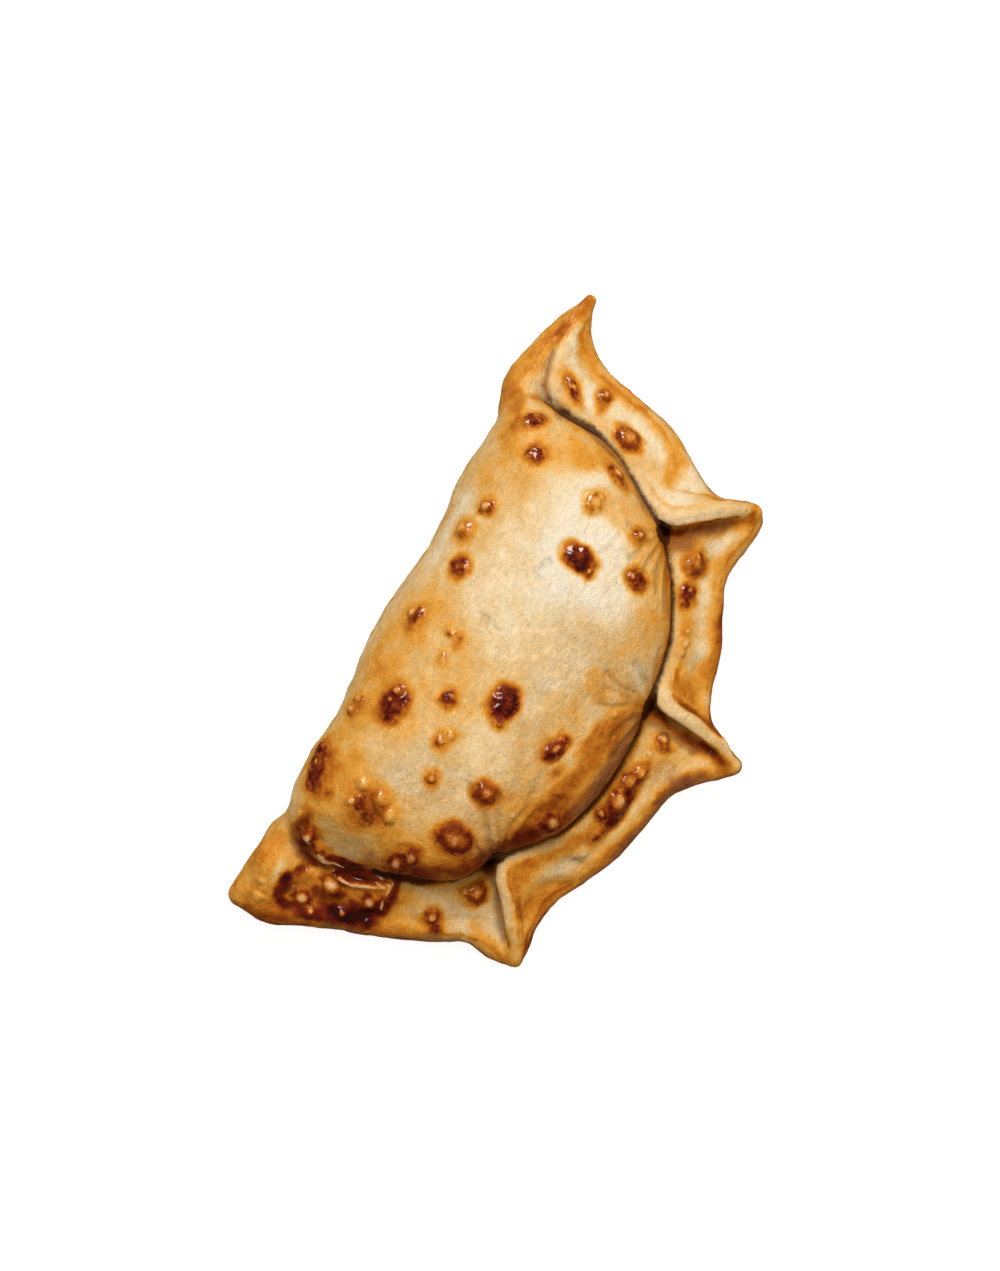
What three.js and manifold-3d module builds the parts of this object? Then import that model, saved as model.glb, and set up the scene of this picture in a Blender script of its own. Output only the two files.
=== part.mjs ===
// A baked empanada: a round of dough folded over its filling, with the open edge folded back on itself in
// four straight laps. Where one lap ends it stands up as a thick lip over the start of the next, and the dough
// runs out into a pointed corner. The straight side is the plain fold. It is one solid piece of baked dough.
//
// Units are millimetres. +X runs along the plain fold from the blunt corner to the long horn, +Y points from
// the lapped hem to the plain fold, +Z is up, and the flat base lies on Z = 0.

import * as THREE from 'three';
import { LoftGeometry } from 'three/addons/geometries/LoftGeometry.js';
import { mergeVertices } from 'three/addons/utils/BufferGeometryUtils.js';
import Module from 'manifold-3d';

// Driving dimensions.
const DOME_HEIGHT = 37; // top of the filled pocket above the tray
const DOME_FULLNESS = 2.35; // 2 is an ellipse, more is a plumper pillow with steeper sides
const BELLY_HEIGHT = 12.5; // height of the pocket's widest line
const FOLD_UNDERCUT = 5.5; // how far the plain fold curls in under the belly
const HEM_UNDERCUT = 1.5; // the same on the side that the hem hides
const HEM_FOOT = 3.5; // how far a lap's foot reaches in under the pocket
const SHOULDER = 3; // rounding of a lap's two edges
const CREASE_OVERLAP = 0.2; // how far a lap's inner edge reaches in past the pocket's widest line
const LIP_RADIUS = 2.1; // of the thick rim where a lap ends
const TRAY_CUT = 1.5; // everything is drawn this much too deep and then cut flat
const BLISTER_RISE = 0.9; // of a blister above the skin
const BLISTER_SINK = 1; // of its root below the skin

// How finely the surfaces are divided.
const DOME_COLUMNS = 84;
const DOME_UNDER_ROWS = 3;
const DOME_TOP_ROWS = 13;
const LAP_STEP = 4.4;
const LAP_POINTS_PER_KNOT = 2;
const LIP_STEP = 3.6;
const LIP_SIDES = 8;
const POST_SIDES = 10;
const BLISTER_SIDES = 8;

// The ridge that the pocket's upper skin is rounded over, from its left end to its right end, and its summit.
const RIDGE = [[-32, 17.5], [28, 16]];
const SUMMIT = [1, 16.5];

// The pocket's widest line in plan, clockwise from the root of the horn, along the hem and back by the fold.
const BELLY = [
  [58, 45.5], [60, 40], [59.4, 33], [59.4, 24], [57, 15.5], [52, 7], [47, -1], [42, -6.6], [33, -13.3],
  [22, -18.6], [9, -20.9], [3, -22], [-9, -22.6], [-22, -21.2], [-34, -17], [-42, -10.4], [-48, -5.2],
  [-55.5, -1.2], [-61, 7.5], [-64.3, 19], [-66.5, 28], [-67.5, 38], [-62, 45.4], [-48, 47.8], [-34, 46.7],
  [-17, 48.4], [-3, 48.6], [16, 46.4], [33, 48], [45, 46.9],
];

// The laps of the hem, in order from the horn. outer is the visible edge in plan. inner follows the pocket from
// one belly point to another, after the points of lead. The heights are spread evenly from the lap's start to
// its end, first along the outer shoulder and then along the inner one.
const LAPS = [
  {
    outer: [[88.3, 39.3], [80.5, 35.6], [75.2, 29], [73, 19.5], [70.2, 7], [63.8, -3.5], [60.3, -11],
      [62, -16.8], [63.2, -21.2]],
    lead: [[88.1, 40.9], [80, 41.7], [74, 42], [68, 40.8], [62.8, 38], [60.6, 33.5]],
    inner: [[59.4, 30], [50, 2.5]],
    end: [[49.8, -3.6]],
    outerHeights: [8.6, 9.4, 9.6, 10.6, 10.6],
    innerHeights: [8.6, 14.2, 15.2, 15.4, 17.6],
  },
  {
    outer: [[62.8, -21.5], [61.2, -24.2], [57.8, -25.2], [53, -25], [44, -24], [35, -26.9], [26, -31.3],
      [17, -33.6], [9.5, -37.6], [6.4, -43], [3.7, -48]],
    lead: [[54.5, -2.5], [49.5, -4.5]],
    inner: [[42.5, -6.2], [13.5, -20.2]],
    end: [[8.7, -23.4]],
    outerHeights: [9.2, 8.8, 9.4, 9.6, 10.8],
    innerHeights: [7.6, 11.6, 14.6, 15.2, 17.8],
  },
  {
    outer: [[3.4, -48], [1.4, -49.6], [-1.4, -47.4], [-5.8, -43.2], [-13, -37.8], [-24, -35.2],
      [-34, -32.8], [-44, -28], [-52, -24.3], [-58, -23.4], [-63, -24.2], [-67.4, -24.8]],
    lead: [[10.5, -24.2], [6, -23]],
    inner: [[2.6, -22], [-42, -10.4]],
    end: [[-46.6, -8.5]],
    outerHeights: [9.2, 9.4, 9.6, 9.6, 10.6],
    innerHeights: [7.6, 12.4, 14.8, 15.2, 17.8],
  },
  {
    outer: [[-67.4, -24.2], [-69.9, -22.4], [-70.4, -16.5], [-69.9, -9.5], [-74, -1.5], [-78.6, 9], [-82.6, 21],
      [-86.8, 31], [-89.7, 38.5], [-89.2, 46.4]],
    lead: [[-44.5, -12.5], [-46.5, -7.5]],
    inner: [[-49.5, -4.4], [-63.4, 15.5]],
    end: [[-64.2, 22], [-64.4, 30], [-65, 37], [-66, 44.6]],
    roundedEnd: 3.4,
    outerHeights: [9.2, 9.2, 9.6, 10.6, 11.6],
    innerHeights: [7.6, 12.6, 14.2, 15, 15.4],
  },
];

// The horn is built as one more lap, whose high shoulder is the fold and whose low one is the valley beside it.
const HORN = {
  outer: [[40, 41], [47, 44.6], [54, 48], [61, 49.8], [68, 48.8], [77, 46.6], [84, 44], [88.3, 41.6]],
  lead: [[40, 28], [47, 32], [55, 35.4], [63, 37.8], [70, 39.6], [76, 40.4], [83, 39.8], [88.1, 39.8]],
  outerHeights: [22, 21, 17.5, 14, 11.6, 9.6],
  innerHeights: [20, 18, 9.6, 8.6, 7.8, 7.4],
  shoulder: 6.5,
};

// Rounded posts of dough, for the corners that the laps run out into, for the neck between the pocket and the
// blunt corner, and for the floor of the pits at the pleats: plan x, plan y, radius and height.
const POSTS = [
  [88.2, 40.4, 1.8, 9.6], [60.8, -21.7, 2.4, 10.8], [59, -19.5, 3, 10.4], [2, -47.7, 2.5, 10.8],
  [2.2, -44.5, 3, 10.2], [-67.7, -22.6, 2.4, 10.8], [-66.8, 41, 4.4, 14], [-66.6, 33.5, 3.6, 15.4],
  [46.6, -4.6, 3.6, 9], [5.4, -22.6, 3.2, 9], [-47, -8.6, 3.2, 9],
];

// The thick rims: each runs along the last of a lap's inner edge, out over the lip and down to the corner. The
// numbers are plan x, plan y and the height of the rim's top.
const RIMS = [
  [[53.8, 7, 14.8], [50.2, 1.4, 16.6], [50, -3.6, 18.2], [53, -9, 17.8], [57.4, -15.6, 15.2], [61.2, -22, 11]],
  [[21, -20.8, 14.6], [14.4, -22, 16.4], [9.5, -23.8, 18.4], [7.5, -29, 18], [5.4, -38, 15],
    [2.3, -47.8, 11]],
  [[-36.5, -18, 14.4], [-42, -12.6, 16.4], [-46.3, -9.1, 18.4], [-51, -10.6, 18], [-60, -17.4, 15],
    [-67.8, -22.8, 11]],
];

// Blisters in the dough: plan x, plan y, length, width, and the turn of the length from +X in degrees.
const BLISTERS = [
  // on the pocket, along the fold and then towards the hem
  [-47, 44.2, 12, 5.5, 5], [-29, 43, 6, 3.6, 0], [-4, 40.7, 6.5, 4, -10], [21.5, 40.3, 6.5, 5, 0],
  [13, 36.8, 6, 4.6, 0], [53.5, 38, 6.5, 5, -50], [46.5, 34, 5.4, 5, -60], [-24.5, 34.8, 11, 7, 0],
  [-5, 29.6, 8, 3.8, 10], [-50, 29, 12, 9, 20], [-17, 23.5, 5.6, 4.6, 0], [-26, 20, 6, 5, 20],
  [43, 15.5, 6, 5.2, 0], [51.5, 13, 9, 3.2, 68], [28.5, 12, 10, 7.5, 70], [-12, 11, 12, 8.4, 5],
  [-57, 14, 7, 6, -35], [-46.5, 6.3, 9, 8, 75], [-33, 4.6, 5.4, 5, 0], [31, -3, 8, 4.4, 50],
  [-15, -5.6, 9, 5.6, -25], [-32, -13, 5, 4.4, 0],
  // on the laps, from the horn round to the blunt corner
  [66.5, 34, 9, 3.6, 50], [68, 25.5, 5, 5, 0], [61.8, 15, 8, 4.6, 68], [42.5, -14.8, 6.4, 5.4, 0],
  [35, -16.8, 6.4, 5, 10], [-2.6, -29.4, 5.4, 4, 60], [-17, -26.4, 13, 4.6, -8], [-57.5, -5.5, 5.6, 4.8, 0],
  [-69, 0, 6, 4.6, 70], [-72.4, 16.8, 6, 5, 0], [-72.4, 26.6, 8, 6.4, 90], [-79, 31.6, 6, 4.4, 90],
  [-67.2, 32.6, 8, 4, 75],
];

const wasm = await Module();
wasm.setup();

const flat = ([x, y, z = 0]) => new THREE.Vector3(x, y, z);
const smoothCurve = (points, closed = false) =>
  new THREE.CatmullRomCurve3(points.map(flat), closed, 'catmullrom', 0.5);
const mix = THREE.MathUtils.lerp;

// The value at share t of a list of values spread evenly from 0 to 1, eased between neighbours.
function heightAt(values, t) {
  const place = t * (values.length - 1);
  const below = Math.min(Math.floor(place), values.length - 2);
  return mix(values[below], values[below + 1], THREE.MathUtils.smoothstep(place - below, 0, 1));
}

// A three.js geometry as a manifold-3d solid.
function solidOf(geometry) {
  const bare = new THREE.BufferGeometry().copy(geometry);
  bare.deleteAttribute('normal');
  bare.deleteAttribute('uv');
  const merged = mergeVertices(bare, 1e-4);
  return new wasm.Manifold(new wasm.Mesh({
    numProp: 3,
    vertProperties: new Float32Array(merged.attributes.position.array),
    triVerts: new Uint32Array(merged.index.array),
  }));
}

// A manifold-3d solid as a three.js geometry.
function geometryOf(solid) {
  const mesh = solid.getMesh();
  const geometry = new THREE.BufferGeometry();
  geometry.setAttribute('position', new THREE.BufferAttribute(new Float32Array(mesh.vertProperties), 3));
  geometry.setIndex(new THREE.BufferAttribute(new Uint32Array(mesh.triVerts), 1));
  return geometry;
}

const bellyLine = smoothCurve(BELLY, true).getSpacedPoints(600).slice(0, -1);

// The filled pocket: rings that climb from under the belly, out to its widest line and over the top. Each ring
// point runs in from the belly line towards the ridge, along a quarter of a superellipse above the belly and a
// quarter of an ellipse below it.
function pocket() {
  const [left, right] = RIDGE.map(flat);
  const summit = flat(SUMMIT);
  const columns = smoothCurve(BELLY, true).getSpacedPoints(DOME_COLUMNS).slice(0, -1).reverse()
    .map((edge) => {
      const share = THREE.MathUtils.clamp((edge.x - left.x) / (right.x - left.x), 0, 1);
      const hemSide = THREE.MathUtils.smoothstep(40 - edge.y, 0, 8);
      return { edge, top: left.clone().lerp(right, share), undercut: mix(FOLD_UNDERCUT, HEM_UNDERCUT, hemSide) };
    });
  const rings = [];
  for (let row = 0; row <= DOME_UNDER_ROWS; row++) {
    const turn = (Math.PI / 2) * (1 - row / DOME_UNDER_ROWS);
    rings.push(columns.map(({ edge, top, undercut }) => {
      const inward = top.clone().sub(edge).setLength(undercut * (1 - Math.cos(turn)));
      return edge.clone().add(inward).setZ(BELLY_HEIGHT - (BELLY_HEIGHT + TRAY_CUT) * Math.sin(turn));
    }));
  }
  for (let row = 1; row <= DOME_TOP_ROWS; row++) {
    const turn = (Math.PI / 2) * Math.min(row / DOME_TOP_ROWS, 0.985);
    const reach = Math.cos(turn) ** (2 / DOME_FULLNESS);
    const climb = Math.sin(turn) ** (2 / DOME_FULLNESS);
    rings.push(columns.map(({ edge, top }) =>
      summit.clone().lerp(top, Math.sqrt(reach)).lerp(edge, reach).setZ(mix(BELLY_HEIGHT, DOME_HEIGHT, climb))));
  }
  return new LoftGeometry(rings, { capStart: true, capEnd: true });
}

// The part of the belly line between the points nearest to two plan points, moved in by the crease's overlap.
function creaseBetween(from, to) {
  const nearest = (point) => bellyLine.reduce((best, candidate, i) =>
    (candidate.distanceTo(flat(point)) < bellyLine[best].distanceTo(flat(point)) ? i : best), 0);
  const first = nearest(from);
  const last = nearest(to);
  const steps = Math.max(2, Math.round((last - first) / 12));
  return Array.from({ length: steps + 1 }, (_, i) => {
    const at = Math.round(mix(first, last, i / steps));
    const along = bellyLine[(at + 1) % 600].clone().sub(bellyLine[(at + 599) % 600]).normalize();
    return [bellyLine[at].x + along.y * CREASE_OVERLAP, bellyLine[at].y - along.x * CREASE_OVERLAP];
  });
}

// One closed section of a lap, from its outer edge to its inner one: a rounded outer edge, a shallow groove
// behind it, a gentle crown, a rounded inner edge and a foot that reaches in under the pocket.
function lapSection(outer, inner, outerTop, innerTop, shoulder) {
  const width = outer.distanceTo(inner);
  const k = Math.min(1, width / 12);
  const [from, to] = [shoulder * k, width - SHOULDER * k];
  const knots = [
    [3.2 * k, -TRAY_CUT], [0.6 * k, 1], [-0.3, 0.42 * outerTop], [0.2 * shoulder * k, 0.8 * outerTop],
    [from, outerTop], [mix(from, to, 0.25), mix(outerTop, innerTop, 0.25) - 0.5 * k],
    [mix(from, to, 0.6), mix(outerTop, innerTop, 0.6) + 0.9 * k], [to, innerTop],
    [width - 0.8 * k, 0.93 * innerTop], [width, 0.79 * innerTop],
    [width + 0.4 * HEM_FOOT * k, 0.58 * innerTop], [width + 0.8 * HEM_FOOT * k, 0.12 * innerTop],
    [width + HEM_FOOT * k, -TRAY_CUT],
  ];
  const across = inner.clone().sub(outer).normalize();
  const loop = smoothCurve(knots.map(([a, z]) => [a, z]), true).getPoints(knots.length * LAP_POINTS_PER_KNOT);
  return loop.slice(0, -1).map((p) => outer.clone().addScaledVector(across, p.x).setZ(p.y));
}

// A section drawn in towards its own middle and moved on, to round off the end of a lap.
function closingSections(section, onward, radius) {
  const middle = section.reduce((sum, p) => sum.add(p), new THREE.Vector3()).divideScalar(section.length);
  const low = middle.z * 0.8;
  return [0.35, 0.65, 0.9].map((share) => {
    const turn = (share * Math.PI) / 2;
    return section.map((p) => {
      const inward = middle.clone().sub(p).setZ(0);
      const inset = Math.min(radius * (1 - Math.cos(turn)), inward.length() * 0.8);
      return p.clone().addScaledVector(inward.normalize(), inset)
        .addScaledVector(onward, radius * Math.sin(turn))
        .setZ(p.z > low ? mix(low, p.z, Math.cos(turn)) : p.z);
    });
  });
}

function lap({ outer, lead, inner, end, outerHeights, innerHeights, shoulder = SHOULDER, roundedEnd }) {
  const outerLine = smoothCurve(outer);
  const innerLine = smoothCurve([...lead, ...(inner ? creaseBetween(...inner) : []), ...(end ?? [])]);
  const steps = Math.round((outerLine.getLength() + innerLine.getLength()) / 2 / LAP_STEP);
  const sections = [];
  for (let i = 0; i <= steps; i++) {
    const t = i / steps;
    sections.push(lapSection(outerLine.getPointAt(t), innerLine.getPointAt(t),
      heightAt(outerHeights, t), heightAt(innerHeights, t), shoulder));
  }
  if (roundedEnd) {
    const onward = outerLine.getTangentAt(1).add(innerLine.getTangentAt(1)).normalize();
    sections.push(...closingSections(sections.at(-1), onward, roundedEnd));
  }
  return new LoftGeometry(sections, { capStart: true, capEnd: true });
}

// An upright post with a rounded top and foot.
function post([x, y, radius, height]) {
  const profile = [[0.55, -TRAY_CUT], [0.9, 1], [1, 3.5], [1, 0.7 * height], [0.8, 0.88 * height], [0.4, height]];
  return new LoftGeometry(profile.map(([share, z]) => Array.from({ length: POST_SIDES }, (_, i) => {
    const turn = (2 * Math.PI * i) / POST_SIDES;
    return new THREE.Vector3(x + share * radius * Math.cos(turn), y + share * radius * Math.sin(turn), z);
  })), { capStart: true, capEnd: true });
}

// A thick rim: a round section carried along its path, drawn in at both ends. The path is the top of the rim.
function rim(path) {
  const line = smoothCurve(path);
  const steps = Math.round(line.getLength() / LIP_STEP);
  const sections = [];
  for (let i = 0; i <= steps; i++) {
    const t = i / steps;
    const radius = LIP_RADIUS * Math.max(0.35, Math.sin(Math.PI * t) ** 0.3);
    const centre = line.getPointAt(t);
    const along = line.getTangentAt(t).setZ(0).normalize();
    const side = new THREE.Vector3(-along.y, along.x, 0);
    sections.push(Array.from({ length: LIP_SIDES }, (_, j) => {
      const turn = (2 * Math.PI * j) / LIP_SIDES;
      return centre.clone().addScaledVector(side, radius * Math.cos(turn))
        .setZ(centre.z - radius + radius * Math.sin(turn));
    }));
  }
  return new LoftGeometry(sections, { capStart: true, capEnd: true });
}

// A blister: a low dome rooted in the skin where a plumb line meets it, and square to the skin there.
function blister([x, y, length, width, turn], skin) {
  const ray = new THREE.Raycaster(new THREE.Vector3(x, y, 2 * DOME_HEIGHT), new THREE.Vector3(0, 0, -1));
  const [hit] = ray.intersectObject(skin);
  const profile = [[1.15, -BLISTER_SINK], [0.98, 0.1], [0.5, BLISTER_RISE]];
  const bump = new LoftGeometry(profile.map(([share, z]) => Array.from({ length: BLISTER_SIDES }, (_, i) => {
    const around = (2 * Math.PI * i) / BLISTER_SIDES;
    return new THREE.Vector3((share * length * Math.cos(around)) / 2, (share * width * Math.sin(around)) / 2, z);
  })), { capStart: true, capEnd: true });
  bump.rotateZ(THREE.MathUtils.degToRad(turn));
  const tilt = new THREE.Quaternion().setFromUnitVectors(new THREE.Vector3(0, 0, 1), hit.face.normal);
  bump.applyQuaternion(tilt);
  bump.translate(hit.point.x, hit.point.y, hit.point.z);
  return solidOf(bump);
}

// Everything below the tray's surface, to be cut away.
function belowTray() {
  const box = new THREE.BoxGeometry(400, 400, 40);
  box.translate(0, 0, -20);
  return solidOf(box);
}

function empanada() {
  const forms = [pocket(), ...LAPS.map(lap), lap(HORN), ...POSTS.map(post), ...RIMS.map(rim)];
  const dough = forms.map(solidOf).reduce((whole, form) => whole.add(form)).subtract(belowTray());
  const skin = new THREE.Mesh(geometryOf(dough), new THREE.MeshBasicMaterial({ side: THREE.DoubleSide }));
  skin.geometry.computeVertexNormals();
  const baked = BLISTERS.map((place) => blister(place, skin)).reduce((whole, form) => whole.add(form), dough);
  const geometry = geometryOf(baked);
  geometry.computeBoundingBox();
  const { min, max } = geometry.boundingBox;
  geometry.translate(-(min.x + max.x) / 2, -(min.y + max.y) / 2, -min.z);
  return geometry;
}

const crust = new THREE.MeshStandardMaterial({ color: 0xd9ab66, roughness: 0.45, metalness: 0 });
const mesh = new THREE.Mesh(empanada(), crust);
mesh.name = 'baked_dough';

const group = new THREE.Group();
group.add(mesh);

export default group;
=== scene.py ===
# %% [markdown]
# # A baked empanada
#
# A round of dough is folded over its filling. The open edge is folded back on itself in four straight laps.
# Where one lap ends it stands up as a thick lip over the start of the next, and the dough runs out there into
# a pointed corner. The whole piece is one skin of dough, so here it is one mesh with one crust material.
#
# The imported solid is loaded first. It says where the piece lies and how large it is. Lengths in this lesson
# are millimetres, as in the solid's own drawing, and the finished mesh is put into metres at the end.

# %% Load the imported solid
import math
import bpy
import numpy as np
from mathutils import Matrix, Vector


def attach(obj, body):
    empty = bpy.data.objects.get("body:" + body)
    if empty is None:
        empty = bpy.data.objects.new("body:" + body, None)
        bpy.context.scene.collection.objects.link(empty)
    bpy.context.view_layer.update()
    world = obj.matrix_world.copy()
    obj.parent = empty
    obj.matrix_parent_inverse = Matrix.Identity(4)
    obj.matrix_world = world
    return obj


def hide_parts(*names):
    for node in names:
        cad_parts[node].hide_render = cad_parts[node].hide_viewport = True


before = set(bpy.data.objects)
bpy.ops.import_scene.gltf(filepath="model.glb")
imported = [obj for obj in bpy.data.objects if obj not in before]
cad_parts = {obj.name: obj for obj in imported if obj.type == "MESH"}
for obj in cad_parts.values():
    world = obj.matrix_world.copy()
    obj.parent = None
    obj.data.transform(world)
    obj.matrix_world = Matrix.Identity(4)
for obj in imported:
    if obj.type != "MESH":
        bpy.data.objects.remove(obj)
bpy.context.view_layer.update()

MM = 0.001  # metres in a millimetre
NODE = "baked_dough"

# %% [markdown]
# ## Small tools
#
# Everything that follows is worked out for all points at once with numpy arrays. A few helpers come up again
# and again: blending two values, easing between two limits, a smooth curve through given points, the distance
# to a line in plan, and a soft random field.

# %% Blending and easing
def mix(a, b, share):
    """The value that lies the given share of the way from a to b."""
    return a + (b - a) * share


def ease(x, low, high):
    """0 below low, 1 above high, and between them 3t^2 - 2t^3 of the share t."""
    t = np.clip((x - low) / (high - low), 0, 1)
    return t * t * (3 - 2 * t)


def lengths(vectors):
    """The length of each vector of an array, kept as a last axis of one."""
    return np.sqrt((vectors ** 2).sum(-1, keepdims=True))


# %% Smooth curves
def between(before, start, end, after, s):
    """The Catmull-Rom cubic from start to end at share s. Its slope at start is half of end - before, and at
    end half of after - start."""
    out, into = 0.5 * (end - before), 0.5 * (after - start)
    return (start + s * out + s ** 2 * (3 * (end - start) - 2 * out - into)
            + s ** 3 * (2 * (start - end) + out + into))


def curve(points, count, closed=False):
    """A Catmull-Rom curve through points, read off at count places spaced evenly along its length."""
    p = np.asarray(points, float)
    if closed:
        ring = np.concatenate([p[-1:], p, p[:2]])
    else:
        ring = np.concatenate([2 * p[:1] - p[1:2], p, 2 * p[-1:] - p[-2:-1]])
    s = np.linspace(0, 1, 48, endpoint=False)[None, :, None]
    fine = between(*(ring[i:len(ring) - 3 + i, None] for i in range(4)), s).reshape(-1, p.shape[1])
    fine = np.concatenate([fine, ring[-2:-1]])
    along = np.concatenate([[0], np.cumsum(lengths(np.diff(fine, axis=0))[:, 0])])
    at = np.linspace(0, along[-1], count)
    return np.stack([np.interp(at, along, fine[:, k]) for k in range(p.shape[1])], 1)


def curve_length(points):
    """The length of the curve through points, from 200 short chords."""
    return lengths(np.diff(curve(points, 201), axis=0)).sum()


SQUARE = [[0, 0], [1, 0], [1, 1], [0, 1]]
print("a curve through the corners of a square:", curve(SQUARE, 5, True).round(2).tolist())


# %% A soft random field
def noise(points, size, seed):
    """Gradient noise between about -1 and 1 that changes over a distance of size. Each corner of a cubic grid
    holds a random direction. A corner gives the dot product of that direction and the way from the corner to
    the point, and the eight corners are blended by 6t^5 - 15t^4 + 10t^3."""
    rng = np.random.default_rng(seed)
    ways = rng.normal(size=(256, 3))
    ways /= lengths(ways)
    order = rng.permutation(256)
    place = points / size + rng.uniform(0, 90, 3)
    cell = np.floor(place).astype(int)
    part = place - cell
    fade = part ** 3 * (part * (6 * part - 15) + 10)
    total = np.zeros(len(points))
    for corner in np.ndindex(2, 2, 2):
        x, y, z = (cell + corner).T
        pick = order[(order[(order[x % 256] + y) % 256] + z) % 256]
        weight = np.where(corner, fade, 1 - fade).prod(1)
        total += weight * ((part - corner) * ways[pick]).sum(1)
    return 1.7 * total


sample = noise(np.random.default_rng(1).uniform(-90, 90, (2000, 3)), 10, 2)
print("noise from", sample.min().round(2), "to", sample.max().round(2))

# %% [markdown]
# ## The forms of the dough
#
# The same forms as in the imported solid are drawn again, but finely: the filled pocket, the four laps, the
# horn, the thick rims where laps end, and rounded posts in the corners. Each is a stack of closed loops, so
# one function turns any of them into faces. Later they melt together into one skin.

# %% The drawing's sizes
DOME_HEIGHT = 37  # top of the filled pocket above the tray
DOME_FULLNESS = 2.35  # 2 is an ellipse, more is a plumper pillow
BELLY_HEIGHT = 12.5  # height of the pocket's widest line
FOLD_UNDERCUT = 5.5  # how far the plain fold curls in under the belly
HEM_UNDERCUT = 1.5  # the same on the side that the hem hides
HEM_FOOT = 3.5  # how far a lap's foot reaches in under the pocket
SHOULDER = 3  # rounding of a lap's outer edge
INNER_SHOULDER = 1.5  # and of its inner edge
CREASE_OVERLAP = 1.6  # how far a lap's inner edge reaches in past the belly line
LIP_RADIUS = 2.4  # of the thick rim where a lap ends
BELOW = -1.5  # where the forms start, under the tray, before they are pressed flat on it
STEP = 0.9  # between the loops along a lap or a rim
RIDGE = [[-32, 17.5], [28, 16]]  # the pocket's skin is rounded over this line in plan
SUMMIT = [1, 16.5]

BELLY = [
    [58, 45.5], [60, 40], [59.4, 33], [59.4, 24], [57, 15.5], [52, 7], [47, -1], [42, -6.6], [33, -13.3],
    [22, -18.6], [9, -20.9], [3, -22], [-9, -22.6], [-22, -21.2], [-34, -17], [-42, -10.4], [-48, -5.2],
    [-55.5, -1.2], [-61, 7.5], [-64.3, 19], [-66.5, 28], [-67.5, 38], [-62, 45.4], [-48, 47.8], [-34, 46.7],
    [-17, 48.4], [-3, 48.6], [16, 46.4], [33, 48], [45, 46.9],
]
belly = curve(BELLY, 601, closed=True)[:-1]
print("belly line:", len(belly), "points, from", belly.min(0).round(1), "to", belly.max(0).round(1))

# %% The laps' edges and heights
# outer is a lap's visible edge in plan. Its inner edge runs through lead, along the belly line between two
# points, and through end. The heights are spread evenly along the lap, at its outer and its inner shoulder.
LAPS = [
    dict(outer=[[88.3, 39.3], [80.5, 35.6], [75.2, 29], [73, 19.5], [70.2, 7], [63.8, -3.5], [60.3, -11],
                [62, -16.8], [63.2, -21.2]],
         lead=[[88.1, 40.7], [80, 41], [74, 40.9], [68, 39.5], [62.9, 36.5], [60.8, 32.4]],
         inner=[[59.4, 30], [50, 2.5]], end=[[49.8, -3.6]],
         outer_heights=[8.6, 9.4, 9.6, 10.6, 10.6], inner_heights=[8.6, 14.2, 15.2, 15.4, 17.6]),
    dict(outer=[[62.8, -21.5], [61.2, -24.2], [57.8, -25.2], [53, -25], [44, -24], [35, -26.9], [26, -31.3],
                [17, -33.6], [9.5, -37.6], [6.4, -43], [3.7, -48]],
         lead=[[54.5, -2.5], [49.5, -4.5]], inner=[[42.5, -6.2], [13.5, -20.2]], end=[[8.7, -23.4]],
         outer_heights=[9.2, 8.8, 9.4, 9.6, 10.8], inner_heights=[8, 12.6, 15.6, 16.2, 17.8]),
    dict(outer=[[3.4, -48], [1.4, -49.6], [-1.4, -47.4], [-5.8, -43.2], [-13, -37.8], [-24, -35.2],
                [-34, -32.8], [-44, -28], [-52, -24.3], [-58, -23.4], [-63, -24.2], [-67.4, -24.8]],
         lead=[[10.5, -24.2], [6, -23]], inner=[[2.6, -22], [-42, -10.4]], end=[[-46.6, -8.5]],
         outer_heights=[9.2, 9.4, 9.6, 9.6, 10.6], inner_heights=[8, 13.6, 16, 16.4, 17.8]),
    dict(outer=[[-67.4, -24.2], [-69.9, -22.4], [-70.4, -16.5], [-69.9, -9.5], [-74, -1.5], [-78.6, 9],
                [-82.6, 21], [-86.8, 31], [-89.7, 38.5], [-89.2, 46.4]],
         lead=[[-44.5, -12.5], [-46.5, -7.5]], inner=[[-49.5, -4.4], [-63.4, 15.5]],
         end=[[-64.2, 22], [-64.4, 30], [-65, 37], [-66, 44.6]], rounded_end=3.4,
         outer_heights=[9.2, 9.2, 9.6, 10.6, 11.6], inner_heights=[7.6, 12.6, 14.2, 15, 15.4]),
]
HORN = dict(
    outer=[[40, 41], [47, 44.6], [54, 48], [61, 49.8], [68, 48.8], [77, 46.6], [84, 44], [88.3, 41.6]],
    lead=[[40, 28], [47, 32], [55, 35.4], [63, 37.8], [70, 39.6], [76, 40.4], [83, 39.8], [88.1, 39.8]],
    outer_heights=[22, 21, 17.5, 14, 11.6, 9.6], inner_heights=[20, 17, 12.6, 11.4, 9.8, 8],
    shoulder=5.2, groove=-0.2, crown=-0.5,
)
# x, y, radius, height
POSTS = [
    [88.2, 40.4, 1.8, 9.6], [-63.6, 43.2, 3.4, 16.6], [61, 36, 2.6, 12.4], [60.8, -21.7, 2.4, 10.8],
    [59, -19.5, 3, 10.4], [2, -47.7, 2.5, 10.8], [2.2, -44.5, 3, 10.2], [-67.7, -22.6, 2.4, 10.8],
    [-66.8, 41, 4.4, 14], [-66.6, 33.5, 3.6, 15.4], [-64.6, 43.4, 3.4, 13.5], [46.6, -4.6, 3.6, 9],
    [5.4, -22.6, 3.2, 9], [-47, -8.6, 3.2, 9],
]
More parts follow.
